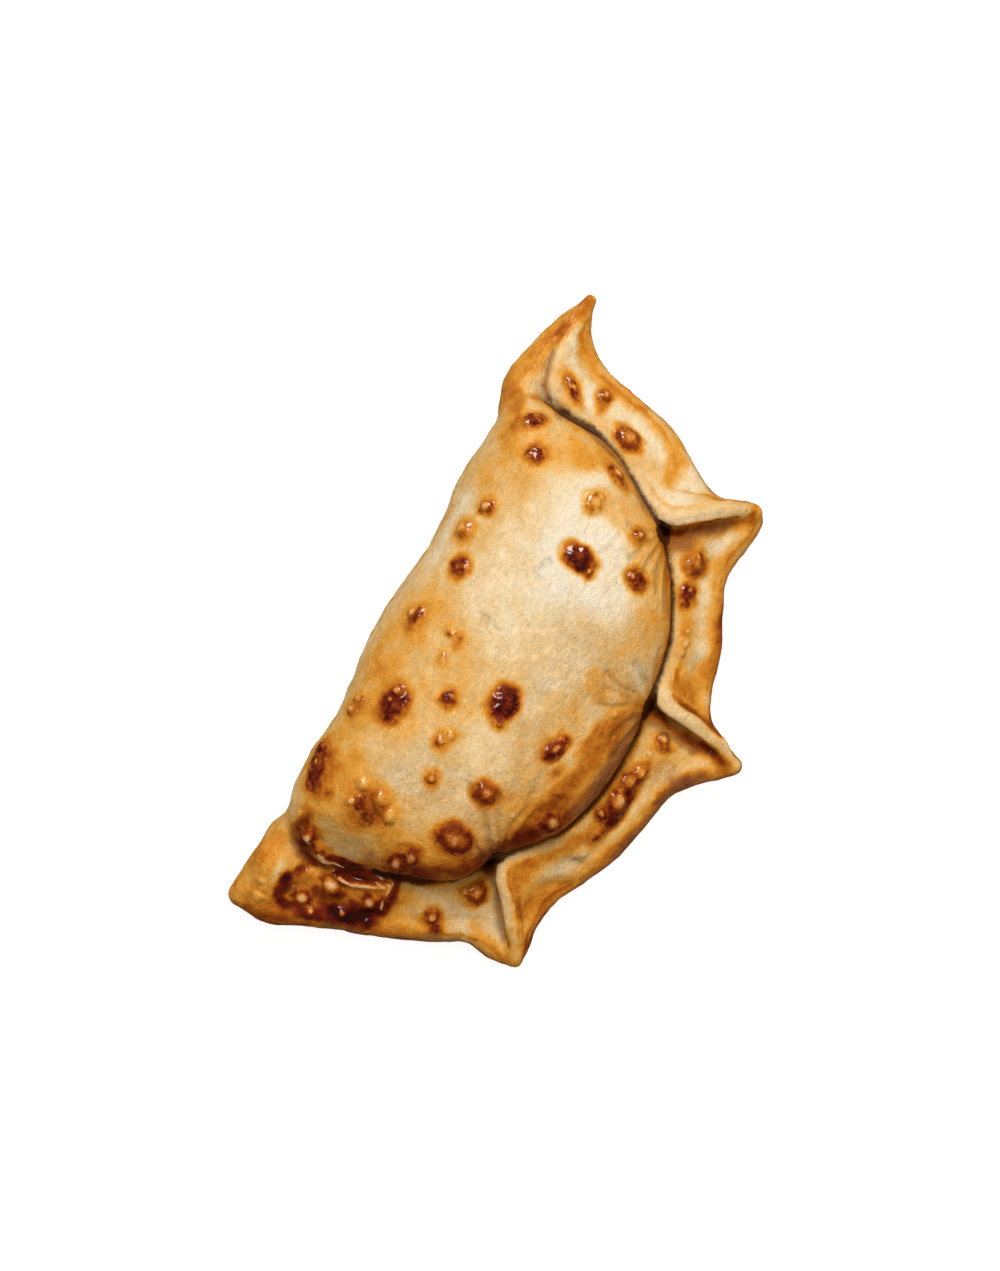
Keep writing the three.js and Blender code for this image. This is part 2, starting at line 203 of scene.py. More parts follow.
# x, y and the height of the rim's top, along the lip and down to the corner
RIMS = [
    [[56, 9.5, 14.8], [52, 4, 16.2], [49.8, 1, 17.4], [49.3, -1.6, 18.2], [50, -4.4, 18.4], [52.4, -7.8, 18],
     [56, -12.2, 16.4], [59.2, -17, 14.2], [61.3, -22, 11]],
    [[21, -21, 14.8], [14.4, -22, 16.6], [9.8, -23, 18], [7.6, -25.4, 18.6], [7, -30, 18.2], [6.3, -36, 16],
     [5, -42, 13.4], [2.4, -47.6, 11]],
    [[-33.5, -20, 14.4], [-37.5, -17, 15.2], [-41.6, -13.4, 16.6], [-44.9, -9.9, 18.2], [-46.8, -8.9, 18.6],
     [-50.5, -10.6, 18.2], [-55, -14.3, 16.6], [-61, -18.7, 14], [-67.4, -23, 11]],
    [[61.4, 28, 14.6], [62, 33.4, 15.6], [63.6, 37, 16], [67.4, 39.4, 15.6], [73, 40.4, 14.4],
     [80, 40.5, 12.2], [86.6, 39.8, 9.8]],
]
# Burnt juice fills the crease between the pocket and the blunt corner: the top of that filling.
FILLING = [
    [-63, 16.4, 10.5], [-65.6, 20, 13.6], [-67.2, 26, 15.4], [-68, 33, 16], [-67.6, 39, 16.4],
    [-65.4, 43, 16], [-62.6, 45.4, 14.4],
]
FILLING_RADIUS = 4
# The first lip is broad: the top of the round back behind its rim.
LIP_BACK = [
    [55, 6, 15.2], [52.8, 2, 16], [52, -2, 16.8], [53, -6, 16.6], [55.4, -10, 15.4], [57.4, -13, 13.6],
]
LIP_BACK_RADIUS = 4.4
print(len(LAPS), "laps,", len(POSTS), "posts and", len(RIMS), "rims")


# %% The pocket
def pocket(columns=420, under_rows=10, top_rows=70):
    """Loops that climb from under the belly to the summit. Below the belly line a point follows a quarter of
    an ellipse, z = belly - belly * sin(turn), and moves in by undercut * (1 - cos(turn)). Above it the reach
    from the ridge is cos(turn)^(2/n) and the climb sin(turn)^(2/n), a superellipse of power n."""
    edge = curve(BELLY, columns + 1, closed=True)[:-1][::-1]
    (x0, _), (x1, _) = RIDGE
    share = np.clip((edge[:, :1] - x0) / (x1 - x0), 0, 1)
    top = mix(np.array(RIDGE[0]), np.array(RIDGE[1]), share)
    undercut = mix(FOLD_UNDERCUT, HEM_UNDERCUT, ease(40 - edge[:, 1:], 0, 8))
    inward = (top - edge) / lengths(top - edge)

    turn = (math.pi / 2) * (1 - np.arange(under_rows) / under_rows)[:, None, None]
    low = edge + inward * undercut * (1 - np.cos(turn))
    low_z = np.broadcast_to(BELLY_HEIGHT * (1 - np.sin(turn)), low.shape[:2] + (1,))

    turn = (math.pi / 2) * np.linspace(0, 0.994, top_rows)[:, None, None]
    reach, climb = np.cos(turn) ** (2 / DOME_FULLNESS), np.sin(turn) ** (2 / DOME_FULLNESS)
    spine = mix(np.array(SUMMIT), top, np.sqrt(reach))
    high = mix(spine, edge, reach)
    high_z = np.broadcast_to(mix(BELLY_HEIGHT, DOME_HEIGHT, climb), high.shape[:2] + (1,))
    return np.concatenate([np.concatenate([low, low_z], 2), np.concatenate([high, high_z], 2)])


print("pocket: loops and points", pocket().shape)


# %% A lap of the hem
def height_at(values, t):
    """Values spread evenly from t = 0 to t = 1, eased from each to the next."""
    values = np.array(values, float)
    place = t * (len(values) - 1)
    below = np.minimum(place.astype(int), len(values) - 2)
    return mix(values[below], values[below + 1], ease(place - below, 0, 1))


def on_belly(place):
    """The number of the belly line's point that is nearest to place."""
    return int(lengths(belly - place).argmin())


def crease(start, end):
    """Every twelfth or so point of the belly line from near start to near end, moved in by the overlap."""
    first, last = on_belly(start), on_belly(end)
    at = np.linspace(first, last, max(2, round((last - first) / 12)) + 1).round().astype(int)
    along = np.roll(belly, -1, 0)[at] - np.roll(belly, 1, 0)[at]
    along /= lengths(along)
    return belly[at] + CREASE_OVERLAP * along[:, ::-1] * [1, -1]


def lap_loops(outer, inner, outer_top, inner_top, shoulder, groove, crown):
    """One closed loop across the lap at each place along it. A loop is a Catmull-Rom curve through 13 knots
    of distance from the outer edge and height: a rounded edge, a shallow groove behind it, a gentle crown, a
    rounded inner edge and a foot under the pocket."""
    width = lengths(inner - outer)[:, 0]
    k = np.minimum(1, width / 12)
    near, far = shoulder * k, width - INNER_SHOULDER * k
    a_quarter, most = mix(near, far, 0.25), mix(near, far, 0.6)
    foot = HEM_FOOT * k
    knots = np.stack([
        [3.2 * k, BELOW + 0 * k], [0.6 * k, 1 + 0 * k], [-0.3 + 0 * k, 0.42 * outer_top],
        [0.2 * shoulder * k, 0.8 * outer_top], [near, outer_top],
        [a_quarter, mix(outer_top, inner_top, 0.25) - groove * k],
        [most, mix(outer_top, inner_top, 0.6) + crown * k], [far, inner_top],
        [width - 0.5 * k, 0.95 * inner_top], [width + 0.1 * k, 0.84 * inner_top],
        [width + 0.4 * foot, 0.58 * inner_top], [width + 0.8 * foot, 0.12 * inner_top],
        [width + foot, BELOW + 0 * k],
    ]).transpose(2, 0, 1)
    s = np.linspace(0, 1, 7, endpoint=False)[None, None, :, None]
    loops = between(*(np.roll(knots, shift, 1)[:, :, None] for shift in (1, 0, -1, -2)), s)
    loops = loops.reshape(len(knots), -1, 2)
    across = (inner - outer) / lengths(inner - outer)
    plan = outer[:, None] + across[:, None] * loops[:, :, :1]
    return np.concatenate([plan, loops[:, :, 1:]], 2)


def rounded_off(loop, onward, radius):
    """Copies of the last loop, moved on and drawn in along a quarter circle, to round off a lap's end."""
    middle = loop.mean(0)
    low = 0.8 * middle[2]
    turn = np.linspace(0.15, 0.95, 8)[:, None, None] * math.pi / 2
    inward = (middle - loop) * [1, 1, 0]
    room = lengths(inward)
    inset = np.minimum(radius * (1 - np.cos(turn)), 0.8 * room)
    ends = loop + inset * inward / room + radius * np.sin(turn) * np.append(onward, 0)
    ends[:, :, 2] = np.where(loop[:, 2] > low, mix(low, loop[:, 2], np.cos(turn[:, :, 0])), loop[:, 2])
    return ends


def lap(outer, lead, outer_heights, inner_heights, inner=None, end=(), shoulder=SHOULDER, rounded_end=0,
        groove=0.5, crown=0.9):
    """The loops of a whole lap. Its inner edge runs through lead, the crease and end."""
    inner_points = np.concatenate([lead, crease(*inner) if inner else np.empty((0, 2)),
                                   np.array(end, float).reshape(-1, 2)])
    count = round((curve_length(outer) + curve_length(inner_points)) / 2 / STEP)
    t = np.linspace(0, 1, count)
    outer_line, inner_line = curve(outer, count), curve(inner_points, count)
    heights = height_at(outer_heights, t), height_at(inner_heights, t)
    loops = lap_loops(outer_line, inner_line, *heights, shoulder, groove, crown)
    if rounded_end:
        ways = [line[-1] - line[-2] for line in (outer_line, inner_line)]
        onward = sum(way / lengths(way) for way in ways)
        loops = np.concatenate([loops, rounded_off(loops[-1], onward / lengths(onward), rounded_end)])
    return loops


print("first lap: loops and points", lap(**LAPS[0]).shape)


# %% Rims and posts
def rim(path, width=LIP_RADIUS, power=0.72):
    """A loop at every step of the path, which is the rim's top. The radius is width times the 0.3th power of
    sin(pi t), but never under 0.35 of width. The loop is a circle whose cosine and sine are raised to the
    given power, and less than 1 makes it squarer."""
    line = curve(path, round(curve_length(path) / STEP))
    t = np.linspace(0, 1, len(line))
    radius = width * np.maximum(0.35, np.abs(np.sin(math.pi * t)) ** 0.3)[:, None]
    along = np.gradient(line[:, :2], axis=0)
    side = (along / lengths(along))[:, ::-1] * [-1, 1]
    turn = np.linspace(0, 2 * math.pi, 28, endpoint=False)
    across, up = (np.sign(part) * np.abs(part) ** power for part in (np.cos(turn), np.sin(turn)))
    plan = line[:, None, :2] + side[:, None] * (radius * across)[..., None]
    z = line[:, 2:] - radius + radius * up
    return np.concatenate([plan, z[..., None]], 2)


def post(x, y, radius, height):
    """Round loops up a post. The profile gives each loop's share of the radius and its height."""
    profile = np.array([[0.55, BELOW], [0.9, 1], [1, 3.5], [1, 0.7 * height], [0.8, 0.88 * height],
                        [0.4, height]])
    profile = curve(profile * [radius, 1], 24)
    turn = np.linspace(0, 2 * math.pi, 36, endpoint=False)
    ring = np.stack([np.cos(turn), np.sin(turn)], 1)
    plan = [x, y] + profile[:, None, :1] * ring
    return np.concatenate([plan, np.broadcast_to(profile[:, None, 1:], plan.shape[:2] + (1,))], 2)


forms = [pocket(), *(lap(**one) for one in LAPS), lap(**HORN), *map(rim, RIMS)]
forms += [rim(FILLING, FILLING_RADIUS, 1), rim(LIP_BACK, LIP_BACK_RADIUS, 1), *(post(*one) for one in POSTS)]
print(len(forms), "forms with", sum(f.shape[0] * f.shape[1] for f in forms), "points")

# %% [markdown]
# ## One skin
#
# Real dough has no seams where the forms meet, only creases. A voxel remesh does that: it fills the forms on
# a fine grid and wraps one closed skin round them. The foot of every form is pressed flat on the tray first.

# %% Faces between the loops
def walls_and_ends(loops, first):
    """Quads between each loop and the next, and one polygon at each end, numbered from first."""
    rows, around = loops.shape[:2]
    index = first + np.arange(rows * around).reshape(rows, around)
    beside = np.roll(index, -1, 1)
    quads = np.stack([index[:-1], beside[:-1], beside[1:], index[1:]], 2).reshape(-1, 4)
    return quads.tolist() + [index[0][::-1].tolist(), index[-1].tolist()]


def placed(name, data):
    """A new object in the scene that holds data."""
    made = bpy.data.objects.new(name, data)
    bpy.context.scene.collection.objects.link(made)
    return made


def melted(loop_stacks, voxel):
    """The points and quads of one closed skin round all the stacks, from Blender's voxel remesh."""
    points = np.concatenate([stack.reshape(-1, 3) for stack in loop_stacks])
    points[:, 2] = np.maximum(points[:, 2], 0)
    firsts = np.cumsum([0] + [stack.shape[0] * stack.shape[1] for stack in loop_stacks])
    faces = [face for stack, first in zip(loop_stacks, firsts) for face in walls_and_ends(stack, first)]
    mesh = bpy.data.meshes.new("forms")
    mesh.from_pydata(points.tolist(), [], faces)
    forms_object = placed("forms", mesh)
    remesh = forms_object.modifiers.new("melt", "REMESH")
    remesh.mode, remesh.voxel_size = "VOXEL", voxel
    skin = forms_object.evaluated_get(bpy.context.evaluated_depsgraph_get()).to_mesh()
    at = np.empty(len(skin.vertices) * 3, np.float32)
    skin.vertices.foreach_get("co", at)
    corners = np.empty(len(skin.loops), np.int32)
    skin.loops.foreach_get("vertex_index", corners)
    sides = np.empty(len(skin.polygons), np.int32)
    skin.polygons.foreach_get("loop_total", sides)
    bpy.data.objects.remove(forms_object)
    bpy.data.meshes.remove(mesh)
    assert (sides == 4).all(), "the remesh should give quads only"
    return at.reshape(-1, 3).astype(float), corners.reshape(-1, 4)


VOXEL = 0.57
skin, quads = melted(forms, VOXEL)
grid = skin.copy()
print("skin:", len(skin), "points and", 2 * len(quads), "triangles")
print("from", skin.min(0).round(2), "to", skin.max(0).round(2), "mm")

# %% [markdown]
# ## Softening
#
# Where forms meet, the skin still has the sharp corners of a drawing. Moving every point towards the middle
# of its neighbours rounds them, a little everywhere and more where the dough is drawn over smoothly. The
# points on the tray keep their height.

# %% Neighbours, normals and smoothing
edges = np.sort(np.stack([quads, np.roll(quads, -1, 1)], 2).reshape(-1, 2), 1)
edges = np.unique(edges, axis=0)
ends = np.concatenate([edges, edges[:, ::-1]])
neighbours = np.bincount(ends[:, 0], minlength=len(skin))[:, None]
TOUCHING = 0.4  # mm above the tray that still counts as lying on it
on_tray = skin[:, 2] < TOUCHING


def gathered(values):
    """The mean of each point's neighbours, for an array of one or three values a point."""
    columns = values.reshape(len(values), -1)
    total = np.stack([np.bincount(ends[:, 0], column[ends[:, 1]], len(values)) for column in columns.T], 1)
    return (total / neighbours).reshape(values.shape)


def normals(points):
    """The direction in which the skin faces at each point: the sum of the cross products of the diagonals of
    the quads that meet there, made one long."""
    a, b, c, d = points[quads].transpose(1, 0, 2)
    facing = np.cross(c - a, d - b)
    total = np.stack([sum(np.bincount(quads[:, k], facing[:, axis], len(points)) for k in range(4))
                      for axis in range(3)], 1)
    return total / lengths(total)


def smoothed(points, weight, times):
    """Each point moved by its weight towards the mean of its neighbours, the given number of times."""
    for _ in range(times):
        points = mix(points, gathered(points), weight)
        points[on_tray, 2] = 0
    return points


def near(x, y, radius):
    """1 at a place in plan, and eased to 0 at the radius."""
    return 1 - ease(np.hypot(skin[:, 0] - x, skin[:, 1] - y), 0.3 * radius, radius)


skin[on_tray, 2] = 0
# The pocket's left end slopes down into the burnt filling instead of ending in a wall. The skin is kept under
# a plane that is 16 mm high up to x = -68.5 and climbs by 1.25 from there. What is over it is taken off by
# the soft limit 1.5 * log(1 + exp(over / 1.5)).
slope = 16 + 1.25 * np.maximum(skin[:, 0] + 68.5, 0)
at_neck = ease(skin[:, 1], 13, 20) * (1 - ease(skin[:, 1], 45, 49)) * ease(skin[:, 2], 8, 13)
over = 1.5 * np.log1p(np.exp(np.clip((skin[:, 2] - slope) / 1.5, -20, 20))) * at_neck * (skin[:, 0] < -40)
skin[:, 2] -= over
skin = smoothed(skin, 0.5, 3)
# x, y and radius of the places where the dough is drawn smoothly from one form into another
SOFT_PLACES = [
    [54, 43.4, 9], [50, 36, 7], [61.2, 42.4, 6.5], [67, 39.2, 3.4], [62.6, 35.8, 3], [56.6, 3, 3.4],
    [56.4, -2, 3.4], [57.6, -7, 3.4], [59.4, -11, 3], [-64, 45.4, 8], [-67, 40, 9], [-67, 33, 8],
    [-67, 26, 7], [-66, 21, 4], [-68, 45, 8], [60, -20, 5], [2, -46, 5], [-67, -22, 5], [86, 40.5, 4],
]
softness = np.max([near(*place) for place in SOFT_PLACES], 0)[:, None]
skin = smoothed(skin, 0.5 * softness, 40)
facing = normals(skin)
print("facing up:", round(float((facing[:, 2] > 0.7).mean()), 2), "of the points")
print("smoothed round", len(SOFT_PLACES), "places")

# %% [markdown]
# ## Where the baker's marks are
#
# The marks of the oven are placed in plan, as seen from above: blisters, burns, the brown line inside the
# hem's edge, wrinkles that run into the pleats. Two tools are enough. A stroke is the distance to a line. A
# spot is an oval with an uneven outline. Only the skin that faces up gets them.

# %% Strokes, ovals and swellings
def apart(points, reach, at=None):
    """The distance in plan to the line through points, and no more than reach. The distance to each piece of
    the line is that to its nearest point, found by projection. Only points near the line are tried."""
    at = skin if at is None else at
    line = curve(points, max(2, round(curve_length(points) / 1.5)))
    close = ((at[:, :2] > line.min(0) - reach) & (at[:, :2] < line.max(0) + reach)).all(1)
    plan = at[close, :2]
    best = np.full(len(plan), float(reach) ** 2)
    for start, end in zip(line[:-1], line[1:]):
        way = end - start
        share = np.clip(((plan - start) @ way) / (way @ way), 0, 1)[:, None]
        best = np.minimum(best, ((plan - start - share * way) ** 2).sum(1))
    distance = np.full(len(at), float(reach))
    distance[close] = np.sqrt(best)
    return distance


def stroke(points, width, at=None):
    """1 on the line through points, eased to 0 at the given half width."""
    return 1 - ease(apart(points, width, at), 0, width)


def raised(values, goal, share):
    """Values under the goal, moved towards it by the given share. Those over it stay."""
    return np.where(values < goal, mix(values, goal, share), values)


def swelling(r, reach, power):
    """1 in the middle of an oval, falling to 0 at reach: 1 - (r / reach)^2, raised to power."""
    return np.clip(1 - (r / reach) ** 2, 0, 1) ** power


def oval(x, y, length, width, turn=0, uneven=0.0, seed=0, most=3.0):
    """0 in the middle of an oval, 1 on its edge and never over most. uneven pushes the edge in and out by a
    soft random field."""
    angle = math.radians(turn)
    away = skin[:, :2] - [x, y]
    along = away @ [math.cos(angle), math.sin(angle)]
    across = away @ [-math.sin(angle), math.cos(angle)]
    r = np.hypot(along / (length / 2), across / (width / 2))
    close = r < 1.5 * most
    r[close] *= 1 + uneven * noise(skin[close], 0.42 * (length + width) / 2, seed)
    return np.minimum(r, most)


upward = ease(facing[:, 2], -0.1, 0.35)
side_wall = 1 - ease(facing[:, 2], 0.05, 0.6)
print("side walls are", round(float(side_wall.mean()), 2), "of the skin")

# %% Broad browning
# Before the blisters comes the colour of the crust itself. 0 is the palest cream, 0.4 is gold, 0.6 brown,
# 0.85 mahogany and 1 nearly black. Pale places are ovals: level, x, y, length, width, turn in degrees.
PALE = [
    (0.13, 12, 25, 44, 20, 5), (0.02, 30, 12, 42, 28, 15), (0.18, -36, 24, 18, 30, 10),
    (0.18, -24, 8, 16, 22, 0), (0.16, 4, 4, 26, 22, 0), (0.32, -60, 27, 9, 14, 0), (0.28, -56, 37, 9, 8, 0),
    (0.17, -40, 8, 12, 11, 0), (0.18, -28, 1, 14, 8, 0), (0.06, 22, 45, 28, 7, 0),
    (0.16, 8, -14, 20, 9, 10),
    # laps
    (0.10, 68, 36, 10, 9, 0), (0.06, 66.4, 29, 7, 14, -10), (0.1, 66, 12, 10, 30, -12),
    (0.10, 57, -5, 12, 10, -40), (0.06, 75, 38.6, 14, 4, 5), (0.07, 52.4, -17.6, 17, 8, -28),
    (0.16, 25, -24.6, 17, 8, 20), (0.14, 37, -20.8, 13, 4, 14), (0.14, 29.6, -21.6, 6, 6, 0),
    (0.2, -6, -33.4, 13, 8, -35), (0.22, -21, -31, 20, 3.4, -12), (0.12, -42, -22.6, 13, 7, -52),
    (0.2, -36, -24.2, 5, 3.6, -40), (0.18, -63, -8, 12, 11, -30), (0.2, -60, 2.6, 7, 12, 35),
    (0.3, -67.6, 6.4, 7, 7, 20), (0.18, 64, 44, 13, 6, 10), (0.38, -80, 43, 22, 12, 10),
    # (0.1, -74.6, 40.8), (0.2, -84, 42) and (0.16, -80, 42.6) are painted highlights, pale streaks on the
    # blunt corner's swelling.
    (0.32, -68, 44.6, 9, 6, 0), (0.1, -74.6, 40.8, 7, 3.4, 10), (0.2, -84, 42, 2.6, 4, 20),
    (0.16, -80, 42.6, 3, 2.4, 0), (0.24, -61.4, 44.6, 5, 3.4, 0),
]
# Browner places are lines in plan: level, half width in mm, points. A few, marked below, are painted shadow
# under the lips.
BROWNING = [
    (0.36, 8, [[-54, 44], [-45, 44.5], [-30, 43.5], [-18, 44], [-10, 44]]),
    (0.24, 4, [[34, 43], [42, 42.4], [50, 43.6]]), (0.28, 3, [[4, 47], [20, 47.4], [30, 47.4]]),
    (0.39, 5, [[-58, 40], [-48, 39], [-38, 39.5], [-20, 40.5], [-8, 38], [2, 39]]),
    (0.32, 6, [[-30, 32], [-20, 28], [-10, 24], [-2, 30]]),
    (0.36, 6, [[36, 41], [42, 38], [49, 32], [54, 24]]), (0.33, 5, [[46, 10], [42, 3], [37, -3], [30, -8]]),
    (0.46, 3.6, [[51, 22], [54, 17], [52.6, 12]]), (0.52, 3, [[47, 40.6], [52, 42], [57, 47]]),
    (0.60, 5, [[-62, 20], [-59.5, 12], [-54, 4], [-48, -1.6]]),
    (0.42, 5, [[-54, 20], [-51, 14], [-48, 9], [-45, 2]]),
    (0.80, 3.6, [[-61.6, 13], [-58, 5], [-51, -2.4], [-43, -8.6]]),
    (0.84, 3.6, [[-44, -7.6], [-36, -13], [-30, -16.4]]),
    (0.68, 2.4, [[-31, -17], [-20, -20], [-10, -21.4], [-1, -21.6]]),
    (0.56, 5, [[-42, -7], [-35, -9.4], [-27, -12.6]]),
    (0.6, 4.2, [[-30, -12], [-20, -13.6], [-10, -15.4], [-2, -16.4]]),
    (0.40, 5, [[-28, -15], [-16, -17], [-6, -18], [1, -17]]),
    (0.46, 2.6, [[-6, -15], [0, -17.5], [3.6, -20]]), (0.34, 6, [[20, -12], [28, -10], [37, -5]]),
    (0.40, 8, [[-50, 21], [-50, 29], [-46, 35]]), (0.37, 7, [[-38, -2], [-28, -4], [-20, -5], [-10, -5]]),
    (0.40, 3, [[2, -9], [6, -6], [7, -12], [4, -16]]),
    # first lap and horn
    (0.46, 1.7, [[83, 38.6], [79.4, 37.5], [75.8, 34.4], [73, 30.6], [71.4, 24], [70.3, 18], [69.4, 12],
                 [66.6, 5.4], [62, 2]]),
    (0.34, 3, [[82, 37], [75.8, 32.5], [72.6, 25], [71, 17], [68.8, 8], [64, 0]]),
    (0.44, 2.2, [[80, 37.4], [77, 35.4], [74.6, 32.8]]), (0.44, 2.4, [[66.6, 3.6], [62, 1], [57, 0.8]]),
    (0.30, 3, [[62, 34], [66, 38.4], [73, 40.2]]),
    (0.64, 2.1, [[77, 43.2], [81, 42.4], [85, 41.3], [88.2, 40.2]]),
    (0.46, 2.4, [[66, 46], [72, 45], [78, 43.4]]),
    (0.48, 4, [[49, 43], [55, 46.4], [62, 48.4], [70, 47], [80, 44.6]]),
    (0.28, 3.4, [[57, -10], [60, -16], [62.4, -21]]),
    # second lap
    (0.44, 2.2, [[62, -24], [56, -23.4], [48, -22.6], [42, -23.2], [36, -25.6], [30, -28.4], [22, -31.6],
                 [16, -32.6]]),
    (0.42, 3, [[45, -22], [38, -24], [31, -26.8], [24, -30], [17, -29.6], [13, -26.5]]),
    (0.48, 2.6, [[19, -30.4], [13.6, -28], [12, -25.6]]), (0.50, 3, [[9.6, -38], [10.4, -33], [13, -30.4]]),
    (0.40, 3.6, [[45, -10.4], [38, -13.4], [30, -18], [26, -20]]),
    (0.44, 3.2, [[28, -20.2], [20, -22.5], [14, -24]]),
    # (0.90, ...) and (0.62, ...): painted shadow under the first lip, over some real browning.
    (0.90, 2.2, [[46, -5.6], [50, -10], [55, -15.4], [60, -21.2]]),
    (0.62, 3, [[44, -7], [48, -11], [53, -15.6], [58.6, -21]]),
    (0.58, 2, [[36, -26], [30, -29], [24, -31.4]]),
    # third lap
    (0.5, 1.5, [[-66, -23.8], [-58, -22.4], [-50, -23], [-42, -28], [-32, -32.6], [-22, -34.6],
                [-12, -36.2], [-4, -41.6]]),
    (0.56, 3.6, [[-50, -13], [-45, -13.6], [-40, -16.2], [-35, -20.6], [-31, -24]]),
    (0.44, 3, [[-31, -22.4], [-18, -24.4], [-6, -25.4]]),
    (0.50, 4, [[-56, -19.6], [-51, -19.4], [-47, -22.6], [-43, -27]]),
    (0.46, 3.2, [[-40, -28.6], [-30, -32.8], [-18, -34.8], [-10, -37.4]]),
    (0.44, 1.6, [[-63, -19.6], [-57, -16.6], [-52, -12], [-48, -10.8]]),
    (0.38, 2.4, [[-9, -30], [-4, -34], [0, -38]]), (0.44, 2.4, [[-8, -39.4], [-4, -43], [0.6, -47]]),
    # (0.80, ...) along x = 3: painted shadow under the second lip.
    (0.80, 2.6, [[3.4, -24.6], [3, -30], [2.6, -38], [2.4, -44]]), (0.50, 1.6, [[4.6, -40.6], [4.4, -43]]),
    (0.62, 2.4, [[-36, -31.8], [-28, -34.2], [-18, -35.6], [-10, -38], [-4, -43]]),
    # fourth lap
    (0.50, 2.6, [[-69, -22], [-67.6, -15], [-65, -10]]),
    # (0.66, ...): painted shadow under the third lip, over some real browning.
    (0.66, 2.4, [[-48, -8], [-53, -12.4], [-59, -17], [-66, -22.4]]),
    (0.54, 2.8, [[-80, 14], [-76.6, 7], [-72.4, -1]]), (0.46, 8, [[-87, 44], [-82, 47], [-74, 47.6]]),
    (0.6, 5, [[-87.6, 40], [-86, 32], [-82, 22], [-77.6, 11]]), (0.40, 2.4, [[-70, 37], [-66, 41.6]]),
    (0.56, 2, [[-88.6, 45.6], [-88.8, 40], [-87.4, 34]]), (0.44, 3.6, [[-74, 10], [-67, 11.6]]),
    (0.5, 1.8, [[-62.4, 41.4], [-58.6, 41.6]]),
]
# The rims of the lips are lighter again: level, half width in mm, points.
LIGHTER = [
    (0.2, 2.8, [[55, 9], [51.5, 4], [49.4, 0], [49.5, -4], [52.4, -8.4], [56.4, -13.5], [60, -19]]),
    (0.18, 1.2, [[54, 8], [50.4, 3.4], [48.2, 0], [48.6, -4.4], [51.4, -8.8], [55.4, -14], [59, -19]]),
    (0.2, 2.6, [[22, -20.6], [14, -21.6], [9, -22.8], [7, -26], [6.6, -31], [6, -38], [4.4, -45]]),
    (0.2, 1.3, [[20, -20.4], [13, -21.4], [8, -22.8], [5.6, -27], [5.2, -33], [4.8, -39]]),
    (0.28, 2.3, [[-36, -17.4], [-41, -13], [-45, -9], [-48, -8.6], [-53, -12], [-60, -17.4], [-66, -22.2]]),
    (0.2, 1.9, [[-42, -12], [-45, -8.6], [-47, -7.4], [-49.4, -8.2], [-54, -11.8], [-60, -16.4]]),
    (0.27, 1.2, [[-36, -17.8], [-30, -20.7], [-24, -22.9], [-18, -24.3], [-8, -25.3], [0, -24.9]]),
    (0.22, 1.6, [[-64, 11], [-62, 4], [-57, -1], [-53.6, -4.4]]),
    (0.22, 1.2, [[48, 2], [53, 9], [58, 18], [60.6, 28]]),
    (0.16, 1.4, [[62, 36.4], [67, 39.4], [74, 40.4], [80, 39.8]]),
    (0.22, 1.2, [[14, -21.4], [24, -18.6], [34, -14.4], [42, -9.4]]),
]
# Fine brown lines behind the lips: level, half width in mm, points.
FINE_LINES = [
    (0.46, 1.2, [[84, 38.8], [79.4, 37.5], [75.8, 34.4], [73, 30.6], [71.4, 24], [70.3, 18], [69.4, 12],
                 [66.6, 5.4], [62, 2]]),
    (0.5, 1.0, [[61, -23.6], [56, -23.2], [48, -22.4], [42, -23], [36, -25.2], [30, -28.2], [22, -31.2],
                [16, -32.6]]),
    (0.56, 1.0, [[-66, -23.4], [-58, -22], [-50, -22.6], [-42, -27.4], [-32, -32], [-22, -34],
                 [-12, -35.8], [-4, -41]]),
    (0.5, 1.0, [[-68.6, -20], [-67.6, -13], [-69.6, -6], [-73.6, 2], [-77.4, 10]]),
    (0.28, 1.2, [[53.6, 4], [51.8, 1], [51.4, -2], [52.6, -5.4], [55.6, -9.4], [59.6, -15], [61.4, -19]]),
    (0.56, 1.3, [[10.6, -25.6], [9.4, -30], [9, -35], [7.6, -41]]),
    (0.5, 1.4, [[12, -25.6], [16, -24], [22, -23]]),
    (0.52, 1.0, [[-47, -10.4], [-50.5, -11.4], [-54, -14.6], [-57.4, -18], [-62, -20.4]]),
    (0.5, 1.2, [[-36, -20.4], [-40.6, -16], [-44, -12.6], [-46.6, -11.6]]),
]
wander = skin + 1.1 * np.stack([noise(skin, 6, seed) for seed in (11, 12, 13)], 1)
wander += 0.5 * np.stack([noise(skin, 2.2, seed) for seed in (14, 15, 16)], 1)
half_wander = mix(skin, wander, 0.5)
brown = 0.25 + 0.08 * noise(skin, 20, 21) + 0.06 * noise(skin, 7, 23)
for number, (shade, *place) in enumerate(PALE):
    share = 1 - ease(oval(*place, uneven=0.3, seed=200 + number), 0.45, 1.35)
    brown = mix(brown, shade + 0.05 * noise(skin, 4, 24), share)
patchy = 0.85 + 0.3 * noise(skin, 8, 25)
for shade, width, line in BROWNING:
    cover = np.clip(stroke(line, 1.5 * width, wander) * patchy, 0, 1)
    brown = raised(brown, shade, cover)
for shade, width, line in LIGHTER:
    cover = np.clip(1.4 * stroke(line, 1.3 * width, half_wander) * patchy, 0, 1)
    brown = mix(brown, shade, 0.85 * cover)
for shade, width, line in FINE_LINES:
    cover = np.clip(1.2 * stroke(line, 1.3 * width, half_wander), 0, 1)
    brown = np.maximum(brown, shade * cover)
